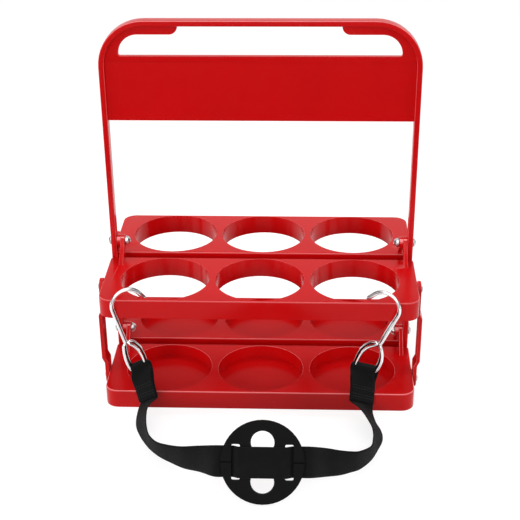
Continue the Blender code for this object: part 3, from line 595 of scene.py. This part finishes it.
def grid_mesh(name, points, closed=False, uv=None):
    """A mesh through a grid of points (rows, columns, 3), whose rows are rings if it is closed."""
    rows, columns = points.shape[:2]
    across = np.arange(columns if closed else columns - 1)
    r, c = np.meshgrid(np.arange(rows - 1), across, indexing="ij")
    r2, c2 = r + 1, (c + 1) % columns
    corners = ((r, c), (r, c2), (r2, c2), (r2, c))
    quads = np.stack([row * columns + column for row, column in corners], -1).reshape(-1, 4)
    mesh = bpy.data.meshes.new(name)
    mesh.from_pydata(points.reshape(-1, 3).tolist(), [], quads.tolist())
    if uv is not None:
        layer = mesh.uv_layers.new(name="run")
        values = np.stack([uv[row, column] for row, column in corners], 2)
        layer.data.foreach_set("uv", values.reshape(-1).astype(np.float32))
    return mesh


def piece(name, mesh, material, body, slot, *replaced):
    """A finished piece in the scene, riding on its body."""
    merged = bmesh.new()
    merged.from_mesh(mesh)
    bmesh.ops.remove_doubles(merged, verts=merged.verts, dist=0.000002)
    bmesh.ops.recalc_face_normals(merged, faces=merged.faces)
    merged.to_mesh(mesh)
    merged.free()
    mesh.shade_smooth()
    mesh.materials.clear()
    mesh.materials.append(material)
    made = bpy.data.objects.new(name, mesh)
    bpy.context.scene.collection.objects.link(made)
    if body:
        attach(made, body)
    if replaced:
        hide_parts(*replaced)
    return made


def catmull_rom(points, steps):
    """Smooth curve through points: each span is the Catmull-Rom cubic of its two ends and of the
    points beside them."""
    points = np.asarray(points, float)
    padded = np.concatenate([points[:1], points, points[-1:]])
    a, b, c, d = (p[:, None] for p in (padded[:-3], padded[1:-2], padded[2:-1], padded[3:]))
    t = np.linspace(0, 1, steps, endpoint=False).reshape(1, -1, *([1] * (points.ndim - 1)))
    square, cube = 2 * a - 5 * b + 4 * c - d, 3 * b - a - 3 * c + d
    curve = b + (c - a) * t / 2 + square * t**2 / 2 + cube * t**3 / 2
    return np.concatenate([curve.reshape(-1, *points.shape[1:]), points[-1:]])


def unit(vectors):
    """Vectors scaled to length one."""
    return vectors / np.maximum(np.linalg.norm(vectors, axis=-1, keepdims=True), 1e-12)


def run_along(points):
    """Distance along a line of points, from its first one."""
    return np.concatenate([[0], np.cumsum(np.linalg.norm(np.diff(points, axis=0), axis=1))])


def grid_normal(surface):
    """Normal at each point of a grid: the cross product of its steps along rows and columns."""
    return unit(np.cross(np.gradient(surface, axis=0), np.gradient(surface, axis=1)))


def around(first, second, sides):
    """Circles in the planes of two rows of directions: first by cosine and second by sine."""
    angle = np.linspace(0, 2 * math.pi, sides, endpoint=False)[None, :, None]
    return first[:, None] * np.cos(angle) + second[:, None] * np.sin(angle)


def round_wire(name, route, radius):
    """A round wire on a route: a circle in the plane across each point, turned as little as
    possible on its way, with domed ends. The route comes back beside itself, and the first UV
    value is the cosine of the angle towards the other run."""
    tangent = unit(np.gradient(route, axis=0))
    normal = np.zeros_like(route)
    normal[0] = unit(np.cross(tangent[0], (0.3, 0.5, 0.8)))
    for index in range(1, len(route)):
        carried = normal[index - 1] - tangent[index] * (normal[index - 1] @ tangent[index])
        normal[index] = carried / np.linalg.norm(carried)
    ring = around(normal, np.cross(tangent, normal), WIRE_SIDES)
    first = route[0] - tangent[0] * radius * END_RISE[:, None]
    last = route[-1] + tangent[-1] * radius * END_RISE[:, None]
    start = first[::-1, None] + ring[:1] * (radius * END_DOME[::-1])[:, None, None]
    finish = last[:, None] + ring[-1:] * (radius * END_DOME)[:, None, None]
    points = np.concatenate([start, route[:, None] + ring * radius, finish])
    beside = unit(route[::-1] - route)
    crevice = np.einsum("rsk,rk->rs", ring, beside)
    steps = len(END_DOME)
    crevice = np.concatenate([crevice[:1].repeat(steps, 0), crevice, crevice[-1:].repeat(steps, 0)])
    run = np.linspace(0, 1, len(points))
    uv = np.stack([crevice, np.broadcast_to(run[:, None], crevice.shape)], -1)
    return grid_mesh(name, points, closed=True, uv=uv)


def lathe(name, profile, sides):
    """A surface turned about X: each profile point (x, radius) goes round a circle in YZ."""
    angle = np.linspace(0, 2 * math.pi, sides, endpoint=False)
    x = np.repeat(profile[:, :1], sides, 1)
    y = profile[:, 1:] * np.cos(angle)
    z = profile[:, 1:] * np.sin(angle)
    return grid_mesh(name, np.stack([x, y, z], -1), closed=True)


def woven_band(name, centre, sizes):
    """Webbing on a centre surface (rows, columns, 3): front and back stand half a thickness off it
    along its normal, less towards the two edges as a flattened round, and the edges and ends are
    closed. The UV map holds the place across the width and the run along the middle."""
    normal = grid_normal(centre)
    columns = centre.shape[1]
    share = np.linspace(-1, 1, columns)
    rise = sizes.webbing_thickness / 2 * (1 - np.abs(share) ** EDGE_POWER) ** 0.5
    front = centre + normal * rise[None, :, None]
    back = centre - normal * rise[None, :, None]
    ring = np.concatenate([front, back[:, -2:0:-1]], 1)
    width = np.linspace(0, sizes.webbing_width, columns)
    across = np.concatenate([width, width[-2:0:-1]])
    run = run_along(centre.mean(1))
    uv = np.stack(np.broadcast_arrays(across[None, :], run[:, None]), -1)
    close_first = np.concatenate([centre[:1], centre[:1, -2:0:-1]], 1)
    close_last = np.concatenate([centre[-1:], centre[-1:, -2:0:-1]], 1)
    points = np.concatenate([close_first, ring, close_last])
    uv = np.concatenate([uv[:1], uv, uv[-1:]])
    return grid_mesh(name, points, closed=True, uv=uv)


def mark_polish(mesh, axis):
    """Give each face painted_edge_highlight, from 0 to 1: a painted highlight on narrow faces that
    lean between along and across the axis, which rises as they turn upwards. A face's width is
    twice its area over its perimeter."""
    normals, areas = np.empty(3 * len(mesh.polygons)), np.empty(len(mesh.polygons))
    starts, corners = np.empty(len(mesh.polygons), int), np.empty(len(mesh.loops), int)
    points = np.empty(3 * len(mesh.vertices))
    mesh.polygons.foreach_get("normal", normals)
    mesh.polygons.foreach_get("area", areas)
    mesh.polygons.foreach_get("loop_start", starts)
    mesh.loops.foreach_get("vertex_index", corners)
    mesh.vertices.foreach_get("co", points)
    normals, points = normals.reshape(-1, 3), points.reshape(-1, 3)
    following = np.roll(corners, -1)
    following[np.append(starts[1:], len(corners)) - 1] = corners[starts]
    sides = np.linalg.norm(points[following] - points[corners], axis=1)
    narrow = 2 * areas < NARROW_FACE * np.add.reduceat(sides, starts)
    lean = np.abs(normals[:, axis])
    slanted = np.clip((lean - 0.3) / 0.2, 0, 1) * np.clip((0.92 - lean) / 0.1, 0, 1)
    # painted highlight: stronger as the face turns upwards
    highlight_share = narrow * slanted * np.clip(0.25 + normals[:, 2], 0, 1)
    mesh.attributes.new("painted_edge_highlight", "FLOAT", "FACE").data.foreach_set("value", highlight_share)


def eased_copy(name, node, edge, flat, rim_only):
    """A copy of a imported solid, merged to whole faces, with a rounded bevel on its outer edges, or
    only on those that bound its two faces across the flat axis."""
    axis = "XYZ".index(flat)
    mesh = NODES[node].data.copy()
    mesh.name = name
    body = bmesh.new()
    body.from_mesh(mesh)
    bmesh.ops.remove_doubles(body, verts=body.verts, dist=MERGED_GAP)
    bmesh.ops.dissolve_limit(body, angle_limit=MERGED_ANGLE, verts=body.verts, edges=body.edges)
    sharp = [
        e for e in body.edges
        if len(e.link_faces) == 2 and e.is_convex and e.calc_face_angle(0) > BEVELLED_ANGLE
    ]
    if rim_only:
        reach = max(abs(v.co[axis]) for v in body.verts) - 10 * MERGED_GAP
        sharp = [e for e in sharp if min(abs(v.co[axis]) for v in e.verts) > reach]
    bmesh.ops.bevel(body, geom=sharp, offset=edge, offset_type="OFFSET", segments=BEVEL_STEPS,
                    profile=0.5, affect="EDGES", clamp_overlap=True)
    body.to_mesh(mesh)
    body.free()
    mark_polish(mesh, axis)
    return mesh


def eased_piece(name, node, edge, material, slot, flat="Z", rim_only=False):
    """An eased copy in the place of its solid, with broad faces flat and eased edges round."""
    mesh = eased_copy(name, node, edge, flat, rim_only)
    made = piece(name, mesh, material, BODY_OF[node], slot, node)
    made.data.set_sharp_from_angle(angle=CREASE_ANGLE)
    weighted = made.modifiers.new("even_shading", "WEIGHTED_NORMAL")
    weighted.keep_sharp = True
    weighted.weight = 60


# Hooks, loops, strap and disc


def hook_centre_line(side):
    """One strand in its own plane: a short straight tip, an arc over the top, and the shaft."""
    end = BEND_SWEEP + HOOK_LEAN[side]
    bend = HOOK_LEAN[side] + np.linspace(TIP_START, BEND_SWEEP, BEND_STEPS + 1)
    arc = np.stack([BEND_RADIUS * np.cos(bend), BEND_RADIUS * np.sin(bend)], -1)
    shaft = arc[-1] + SHAFT_LENGTH * np.array([-math.sin(end), math.cos(end)])
    down = np.array([math.sin(bend[0]), -math.cos(bend[0])])
    tip = arc[0] + np.array([[TIP_LENGTH], [TIP_LENGTH / 2]]) * down
    return np.concatenate([tip, arc, shaft[None]])


def below_shaft(side, points):
    """Points given across and up from the shaft's end, in the hook's plane."""
    across, up = np.asarray(points, float).T
    lean, end = HOOK_LEAN[side], hook_centre_line(side)[-1]
    return np.stack([
        end[0] + across * math.cos(lean) - up * math.sin(lean),
        end[1] + across * math.sin(lean) + up * math.cos(lean),
    ], -1)


def hook_place(side):
    """World place and plan turn of a hook whose shaft rests on the skirt's lower front edge."""
    left = side == "left"
    foot = hook_centre_line(side)[-2]
    slope = -math.tan(BEND_SWEEP + HOOK_LEAN[side])
    across = foot[0] + (HOOK_SINK - RACK_HEIGHT - foot[1]) * slope
    reach = SOLID_STRAND_SPACING / 2 + SOLID_WIRE_RADIUS
    clear = OUTER_EDGE + HOOK_GAP + reach * math.cos(HOOK_YAW)
    y = -clear - across * math.sin(HOOK_YAW) - HOOK_FORWARD
    x = (HOLE_PITCH + HOOK_SHIFT[side]) * (-1 if left else 1)
    return np.array([x, y, RACK_TOP_Z - HOOK_SINK]), HOOK_YAW if left else math.pi - HOOK_YAW


def hook_world(side, local):
    """Points (across, beside, up) of a hook's plane in the world."""
    place, yaw = hook_place(side)
    x = place[0] + local[:, 0] * math.cos(yaw) - local[:, 1] * math.sin(yaw)
    y = place[1] + local[:, 0] * math.sin(yaw) + local[:, 1] * math.cos(yaw)
    return np.stack([x, y, place[2] + local[:, 2]], -1)


def hook_route(side):
    """The whole wire: a strand from the eye over the bend to the tip, a half circle, and the other
    strand back. The two strands stand off the middle line by the same offset on opposite sides,
    wider round the eye."""
    line = hook_centre_line(side)
    eye = below_shaft(side, EYES[side])[::-1]
    shaft = line[-1] + (line[-2] - line[-1]) * SHAFT_SHARES
    flat = np.concatenate([eye, line[-1:], shaft, line[-2::-1]])
    middle = np.insert(flat, 1, 0, axis=1)
    far = 1 if side == "left" else -1
    pair = np.array([STRAND_SPLAY / 2, far * STRAND_SPACING / 2, 0])
    offset = np.tile(pair, (len(middle), 1))
    offset[1:len(eye)] = (EYE_SPLAY, far * EYE_SPACING / 2, EYE_STEP)
    angle = np.radians([45, 90, 135])[:, None]
    turn = HOOK_LEAN[side] + TIP_START
    nose = np.array([math.sin(turn), 0, -math.cos(turn)]) * np.linalg.norm(pair)
    tip = middle[-1] + np.cos(angle) * pair + np.sin(angle) * nose
    return hook_world(side, np.concatenate([middle + offset, tip, (middle - offset)[::-1]]))


def eye_bar(side):
    """Ends of the line that a hook's loop is folded round, and the direction across its plane."""
    ends = hook_world(side, np.insert(below_shaft(side, LOOP_LINES[side]), 1, 0, axis=1))
    yaw = hook_place(side)[1]
    return ends, np.array([-math.sin(yaw), math.cos(yaw), 0.0])


def loop_run(side):
    """Direction of a sewn loop from its eye down to its tail."""
    return unit(TAILS[side].mean(0) - eye_bar(side)[0].mean(0))


def loop_flare(side, bar_way, down, swell):
    """How far the corners of a loop's layers stand out from its flanks: a swell, times the square
    of the share towards the outer and the inner corner."""
    share = np.linspace(0, 1, LOOP_COLUMNS)[None, :, None]
    at_outer, at_inner = np.clip(1 - 2 * share, 0, 1) ** 2, np.clip(2 * share - 1, 0, 1) ** 2
    return {
        layer: swell * (at_inner * (bar_way * reach[1] - down * lift[1])
                        - at_outer * (bar_way * reach[0] + down * lift[0]))
        for layer, (reach, lift) in LOOP_FLARE[side].items()
    }


def loop_surface(side, half):
    """Centre surface of a folded strap end: from the tail up one flank, round the wire on a half
    circle, and down the other flank. Each flank runs from the bar to the tail while its two layers
    close to one gap, and near the bar its corners flare out and up, because the webbing is wider
    than the eye."""
    (outer, inner), beside = eye_bar(side)
    tail, run = TAILS[side], loop_run(side)
    bar_way = unit(inner - outer)
    down = -unit(np.cross(inner - outer, beside))
    tail_side = unit(np.cross(run, tail[1] - tail[0]))
    tail_side = tail_side if tail_side @ beside > 0 else -tail_side
    clear = SOLID_WIRE_RADIUS + WEBBING_GAP + half
    sewn = half + WEBBING_GAP / 2
    share = np.linspace(0, 1, LOOP_COLUMNS)[None, :, None]
    bar = outer + (inner - outer) * share - down * LOOP_CORNER_RISE * np.abs(2 * share - 1) ** 3
    turn = np.linspace(0, math.pi / 2, LOOP_BEND_ROWS)[:, None, None]
    crest = bar - down * clear * np.cos(turn)
    opening = EYE_SPACING / 2 + clear * np.sin(turn)
    crest_off = beside * opening * np.minimum(turn * 6, 1) + 0 * crest
    along = np.linspace(0, 1, LOOP_ROWS)[:, None, None]
    closed = np.minimum(along / LOOP_SEWN_SHARE, 1)
    ease = closed**2 * (3 - 2 * closed)
    facing = beside * (1 - ease) + tail_side * ease
    open_off = EYE_SPACING / 2 + clear
    flank_off = facing * (open_off + (sewn - open_off) * ease) + 0 * bar
    top_middle = (outer + inner) / 2 + down * clear
    tail_middle = tail.mean(0) + run * LOOP_OVERLAP
    core = top_middle + (tail_middle - top_middle) * along
    spread = 1 - (1 - along) ** LOOP_SPREAD_POWER
    start = bar + down * clear - top_middle
    finish = tail[0] + (tail[1] - tail[0]) * share - tail.mean(0)
    flank = core + start * (1 - spread) + finish * spread
    centre = np.concatenate([crest, flank[1:]])
    offset = np.concatenate([crest_off, flank_off[1:]])
    fade = np.exp(-((along / LOOP_SWELL_LENGTH) ** 2))
    swell = (1 - np.exp(-along / LOOP_SWELL_START)) * fade
    swell = np.concatenate([np.zeros((LOOP_BEND_ROWS - 1, 1, 1)), swell])
    flare = loop_flare(side, bar_way, down, swell)
    plus, minus = ("far", "near") if side == "left" else ("near", "far")
    return np.concatenate([(centre + offset + flare[plus])[:0:-1], centre - offset + flare[minus]])


def strap_stations():
    """Lower and upper edge of the strap at each station, from the left loop through the disc to
    the right loop. It passes through the slots on a smooth step, and over the disc between."""
    height = np.array([0, math.sin(DISC_TILT), math.cos(DISC_TILT)])
    front = np.array([0, -math.cos(DISC_TILT), math.sin(DISC_TILT)])
    lift = DISC_RADIUS * height[2] + DISC_THICKNESS / 2 * front[2]
    centre = np.array([DISC_X, DISC_Y, lift])
    clear = DISC_THICKNESS / 2 + WEBBING_GAP + WEBBING_THICKNESS / 2
    margin = clear - DISC_THICKNESS / 2
    enter, leave = SLOT_NEAR + SLOT_WIDTH - margin / 2, SLOT_NEAR + margin / 2
    crossing = np.linspace(enter, leave, SLOT_STEPS + 1)
    beyond = [DISC_RADIUS + DISC_LEAD, (DISC_RADIUS + enter) / 2]
    half_run = np.concatenate([beyond, crossing, [leave / 2]])
    x = np.concatenate([-half_run, [0], half_run[::-1]])
    share = np.clip((enter - np.abs(x)) / (enter - leave), 0, 1)
    off = clear * (2 * share**2 * (3 - 2 * share) - 1)
    point = centre + x[:, None] * np.array([1, 0, 0]) + off[:, None] * front
    reach = height * WEBBING_WIDTH / 2
    middle = np.stack([point - reach, point + reach], 1)
    first, last = (
        np.stack([tail, tail + loop_run(side) * STRAP_LEAD]) for side, tail in TAILS.items()
    )
    return np.concatenate([first, STRAP_LEFT[1:], middle, STRAP_RIGHT[:-1], last[::-1]])


def strap_surface(columns=21):
    """Centre surface of the free strap: its two edges are smooth curves, joined by straight lines
    across."""
    edges = catmull_rom(strap_stations(), STRAP_STEPS)
    edges[:, 0, 2] = np.maximum(edges[:, 0, 2], STRAP_FLOOR_GAP)
    share = np.linspace(0, 1, columns)[None, :, None]
    return edges[:, :1] + (edges[:, 1:] - edges[:, :1]) * share


def stitched(name, surface, sizes):
    """Rows of short stitches across the outer side of a folded strap end, laid along its width:
    each is a bead of a few sides that swells to its middle, with closed tips."""
    rows = [*STITCH_ROWS, *(len(surface) - 1 - row for row in STITCH_ROWS)]
    row, column = STITCH_ROWS[0], LOOP_COLUMNS // 2
    here = surface[row, column]
    facing = np.cross(surface[row + 1, column] - here, surface[row, column + 1] - here)
    inwards = facing @ (surface[-1 - row, column] - here) > 0
    lift = (-1 if inwards else 1) * (sizes.webbing_thickness / 2 + STITCH_LIFT)
    normal = grid_normal(surface)
    body = bmesh.new()
    for row in rows:
        line = surface[row]
        run = run_along(line)
        count = int((run[-1] - STITCH_ROOM) / (sizes.stitch_length * STITCH_PITCH))
        for middle in np.linspace(STITCH_MARGIN, run[-1] - STITCH_MARGIN, max(count, 1)):
            at = middle + STITCH_SHARES * sizes.stitch_length
            centre = np.column_stack([np.interp(at, run, values) for values in line.T])
            up = unit(np.column_stack([np.interp(at, run, values) for values in normal[row].T]))
            beside = unit(np.cross(np.gradient(centre, axis=0), up))
            core = centre[:, None] + up[:, None] * lift
            points = core + around(beside, up, STITCH_SIDES) * STITCH_GIRTH[:, None, None]
            tips = np.repeat(core[[0, -1]], STITCH_SIDES, 1)
            bead = grid_mesh(name, np.concatenate([tips[:1], points, tips[1:]]), closed=True)
            body.from_mesh(bead)
            bpy.data.meshes.remove(bead)
    mesh = bpy.data.meshes.new(name)
    body.to_mesh(mesh)
    body.free()
    return mesh


def rivet_profile(low, high, shank, head, tail):
    """Profile of a rivet along X: an elliptic dome on a low rim, the shank, and a flatter dome at
    the other end."""
    angle = np.linspace(0, math.pi / 2, DOME_STEPS)
    dome = DOME_RIM + (1 - DOME_RIM) * np.cos(angle)
    head_radius, head_rise = head
    tail_radius, tail_rise = tail
    top = np.column_stack([high + head_rise * dome, head_radius * np.sin(angle)])
    rims = [(high, head_radius * DOME_EDGE), (high, shank), (low, shank),
            (low, tail_radius * DOME_EDGE)]
    foot = np.column_stack([low - tail_rise * dome, tail_radius * np.sin(angle)])[::-1]
    return np.concatenate([top, rims, foot])


# Stage


def fitted_camera(scene):
    """The camera that was fitted to the photograph."""
    camera = bpy.data.objects.new("camera", bpy.data.cameras.new("camera"))
    scene.collection.objects.link(camera)
    back = np.array([
        math.sin(VIEW_AZIMUTH) * math.cos(VIEW_ELEVATION),
        -math.cos(VIEW_AZIMUTH) * math.cos(VIEW_ELEVATION),
        math.sin(VIEW_ELEVATION),
    ])
    right = unit(np.cross(-back, (0, 0, 1)))
    up = np.cross(right, -back)
    c, s = math.cos(VIEW_ROLL), math.sin(VIEW_ROLL)
    axes = np.column_stack([c * right + s * up, -s * right + c * up, back])
    place = VIEW_TARGET + back * VIEW_DISTANCE
    rows = [[*axes[row], place[row]] for row in range(3)]
    camera.matrix_world = Matrix([*rows, [0, 0, 0, 1]])
    camera.data.lens = VIEW_LENS
    camera.data.sensor_width = 36
    camera.data.clip_end = 50
    scene.camera = camera


def flat_card(scene, name, material, reach, near, far, height):
    """A level rectangle of the stage, reaching as far to both sides, from near to far along Y."""
    x, y = np.meshgrid((-reach, reach), (near, far))
    mesh = grid_mesh(name, np.stack([x, y, np.full_like(x, height)], -1))
    mesh.materials.append(material)
    card = bpy.data.objects.new(name, mesh)
    scene.collection.objects.link(card)
    return card


def soft_lamps(scene):
    """The soft lamps, which neither the camera nor a mirror sees."""
    for name, place, aim, power, breadth, depth in LAMPS:
        lamp = bpy.data.lights.new(name, "AREA")
        lamp.shape = "RECTANGLE"
        lamp.size = breadth
        lamp.size_y = depth
        lamp.energy = power
        holder = bpy.data.objects.new(name, lamp)
        holder.location = place
        direction = Vector(aim) - Vector(place)
        holder.rotation_euler = direction.to_track_quat("-Z", "Y").to_euler()
        holder.visible_camera = False
        holder.visible_glossy = False
        scene.collection.objects.link(holder)


def studio_world(scene):
    """The camera sees white, and the object gets an even light. What is mirrored in it is a white
    room with dark ends, a dim patch high behind, and a bright hood overhead towards the front."""
    world = bpy.data.worlds.new("studio")
    world.use_nodes = True
    scene.world = world
    tree = world.node_tree
    camera, mirrored = ray_kinds(tree)
    way = split(tree, coordinates(tree, "Generated"))
    room = ramp(tree, maths(tree, "ABSOLUTE", way["X"]), 0.72, 0.82, 1.0, 0.03)
    behind = ramp(tree, way["Y"], 0.55, 0.75)
    above = ramp(tree, way["Z"], 0.42, 0.50, 0.0, 0.7)
    dim = maths(tree, "MULTIPLY", behind, above)
    walls = maths(tree, "MULTIPLY", room, maths(tree, "SUBTRACT", 1.0, dim))
    forward = maths(tree, "MULTIPLY", way["Y"], -0.6)
    hood = ramp(tree, maths(tree, "MULTIPLY_ADD", way["Z"], 0.8, forward), 0.6, 0.8, 0.0, 2.5)
    studio = maths(tree, "MAXIMUM", walls, hood)
    extra = maths(tree, "SUBTRACT", studio, AMBIENT)
    lit = maths(tree, "MULTIPLY_ADD", mirrored, extra, AMBIENT)
    background = tree.nodes["Background"].inputs
    background["Color"].default_value = (1, 1, 1, 1)
    feed(tree, background["Strength"], maths(tree, "MAXIMUM", lit, camera))


# Operators, one for each piece or group of like pieces


def looks(context):
    """The settings of the scene: (sizes, colours)."""
    return context.scene.carrier_sizes, context.scene.carrier_colours


class CARRIER_OT_stage(bpy.types.Operator):
    """Set up the camera, the pale floor and the soft studio light"""

    bl_idname = "carrier.stage"
    bl_label = "Stage"

    def execute(self, context):
        scene = context.scene
        fitted_camera(scene)
        floor = studio_floor(looks(context)[1].floor)
        flat_card(scene, "floor", floor, 8.0, -8.0, 8.0, 0.0)
        soft_lamps(scene)
        black = finish_material("black_card", Base_Color=(0.004, 0.004, 0.004, 1), Roughness=1.0)[0]
        flag = flat_card(scene, "black_flag", black, 0.6, -1.5, -0.5, 0.0001)
        flag.visible_camera = flag.visible_diffuse = False
        flag.visible_shadow = flag.visible_transmission = False
        studio_world(scene)
        scene.view_settings.view_transform = "Standard"
        return {"FINISHED"}


class CARRIER_OT_strap(bpy.types.Operator):
    """Lay the free elastic strap between its two sewn ends, through the disc's slots"""

    bl_idname = "carrier.strap"
    bl_label = "Strap"

    def execute(self, context):
        sizes, colours = looks(context)
        surface = strap_surface()
        mesh = woven_band("elastic_strap", surface, sizes)
        material = woven_elastic(colours.webbing)
        made = piece("elastic_strap", mesh, material, None, "black_webbing", "strap")
        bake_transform(made)
        context.scene["carrier_strap_length"] = float(run_along(surface.mean(1))[-1])
        return {"FINISHED"}


class CARRIER_OT_sewn_ends(bpy.types.Operator):
    """Fold the strap's two ends round the eyes of the hooks and stitch them"""

    bl_idname = "carrier.sewn_ends"
    bl_label = "Sewn ends"

    def execute(self, context):
        sizes, colours = looks(context)
        for side in ("left", "right"):
            surface = loop_surface(side, sizes.webbing_thickness / 2)
            piece(f"sewn_end_{side}", woven_band(f"sewn_end_{side}", surface, sizes),
                  woven_elastic(colours.webbing), "front_upper", "black_webbing",
                  f"strap_loop_{side}")
            piece(f"stitches_{side}", stitched(f"stitches_{side}", surface, sizes),
                  sewing_thread(colours.webbing), "front_upper", "black_webbing")
        return {"FINISHED"}


class CARRIER_OT_hooks(bpy.types.Operator):
    """Bend the two hooks of doubled wire with their eyes"""

    bl_idname = "carrier.hooks"
    bl_label = "Hooks"

    def execute(self, context):
        sizes, colours = looks(context)
        for side in ("left", "right"):
            route = catmull_rom(hook_route(side), WIRE_STEPS)
            mesh = round_wire(f"wire_hook_{side}", route, sizes.wire_radius)
            piece(f"wire_hook_{side}", mesh, plated_wire(colours.wire), "front_upper",
                  "hook_chrome", f"hook_{side}")
        return {"FINISHED"}


class CARRIER_OT_disc(bpy.types.Operator):
    bl_idname = "carrier.disc"
    bl_label = "Disc"

    def execute(self, context):
        sizes, colours = looks(context)
        material = satin_moulding(colours.disc)
        eased_piece("pull_disc", "strap_disc", DISC_EDGE, material, "black_plastic")
        middle = strap_surface(3)[:, 1]
        return {"FINISHED"}


class CARRIER_OT_racks(bpy.types.Operator):
    """Finish the two racks and the two trays"""

    bl_idname = "carrier.racks"
    bl_label = "Racks and trays"

    def execute(self, context):
        sizes, colours = looks(context)
        for node in ("upper_front_rack", "upper_rear_rack", "lower_front_tray", "lower_rear_tray"):
            material = glossy_moulding(colours.moulding)
            eased_piece(f"{node}_moulding", node, sizes.edge_round, material, "red_plastic")
        return {"FINISHED"}


class CARRIER_OT_handle(bpy.types.Operator):
    """Finish the arched handle frame with its panel"""

    bl_idname = "carrier.handle"
    bl_label = "Handle frame"

    def execute(self, context):
        sizes, colours = looks(context)
        eased_piece("handle_moulding", "handle_frame", sizes.edge_round,
                    glossy_moulding(colours.moulding), "red_plastic", "Y", rim_only=True)
        return {"FINISHED"}


class CARRIER_OT_links(bpy.types.Operator):
    """Finish the four side links"""

    bl_idname = "carrier.links"
    bl_label = "Side links"

    def execute(self, context):
        sizes, colours = looks(context)
        for node in sorted(n for n in NODES if n.startswith("link_") and "rivet" not in n):
            material = glossy_moulding(colours.moulding)
            eased_piece(f"{node}_bar", node, sizes.edge_round, material, "red_plastic", "X")
        return {"FINISHED"}


class CARRIER_OT_rivets(bpy.types.Operator):
    """Set the rivets of the hinges and the links"""

    bl_idname = "carrier.rivets"
    bl_label = "Rivets"

    def execute(self, context):
        material = rivet_steel_finish(looks(context)[1].rivet)
        for node in sorted(n for n in NODES if "rivet" in n):
            low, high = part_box(node)
            centre = (low + high) / 2
            near, far = sorted((abs(low.x), abs(high.x)))
            rivet = RIVETS[node.split("_")[0]]
            inside, outside = rivet["inside"], rivet["outside"]
            profile = rivet_profile(near + inside[1], far - outside[1], rivet["shank"],
                                    outside, inside)
            mesh = lathe(node, profile, RIVET_SIDES)
            turn = Matrix.Rotation(math.pi if node.endswith("left") else 0, 4, "Z")
            mesh.transform(Matrix.Translation((0, centre.y, centre.z)) @ turn)
            piece(f"{node}_head", mesh, material, BODY_OF[node], "rivet_steel", node)
        return {"FINISHED"}


class CARRIER_PT_panel(bpy.types.Panel):
    """Builds the carrier piece by piece"""

    bl_idname = "CARRIER_PT_panel"
    bl_label = "Bottle Carrier"
    bl_space_type = "VIEW_3D"
    bl_region_type = "UI"
    bl_category = "Carrier"

    def draw(self, context):
        sizes, colours = looks(context)
        for group in (sizes, colours):
            box = self.layout.box()
            for name in group.__annotations__:
                box.prop(group, name)
        column = self.layout.column(align=True)
        for operator in OPERATORS:
            column.operator(operator.bl_idname)


OPERATORS = (
    CARRIER_OT_stage,
    CARRIER_OT_strap,
    CARRIER_OT_sewn_ends,
    CARRIER_OT_hooks,
    CARRIER_OT_disc,
    CARRIER_OT_racks,
    CARRIER_OT_handle,
    CARRIER_OT_links,
    CARRIER_OT_rivets,
)
CLASSES = (CarrierSizes, CarrierColours, *OPERATORS, CARRIER_PT_panel)


def register():
    for item in CLASSES:
        bpy.utils.register_class(item)
    bpy.types.Scene.carrier_sizes = PointerProperty(type=CarrierSizes)
    bpy.types.Scene.carrier_colours = PointerProperty(type=CarrierColours)


def unregister():
    del bpy.types.Scene.carrier_colours
    del bpy.types.Scene.carrier_sizes
    for item in reversed(CLASSES):
        bpy.utils.unregister_class(item)


def main():
    """Build the carrier."""
    register()
    bpy.ops.carrier.stage()
    bpy.ops.carrier.strap()
    bpy.ops.carrier.sewn_ends()
    bpy.ops.carrier.hooks()
    bpy.ops.carrier.disc()
    bpy.ops.carrier.racks()
    bpy.ops.carrier.handle()
    bpy.ops.carrier.links()
    bpy.ops.carrier.rivets()


if __name__ == "__main__":
    main()
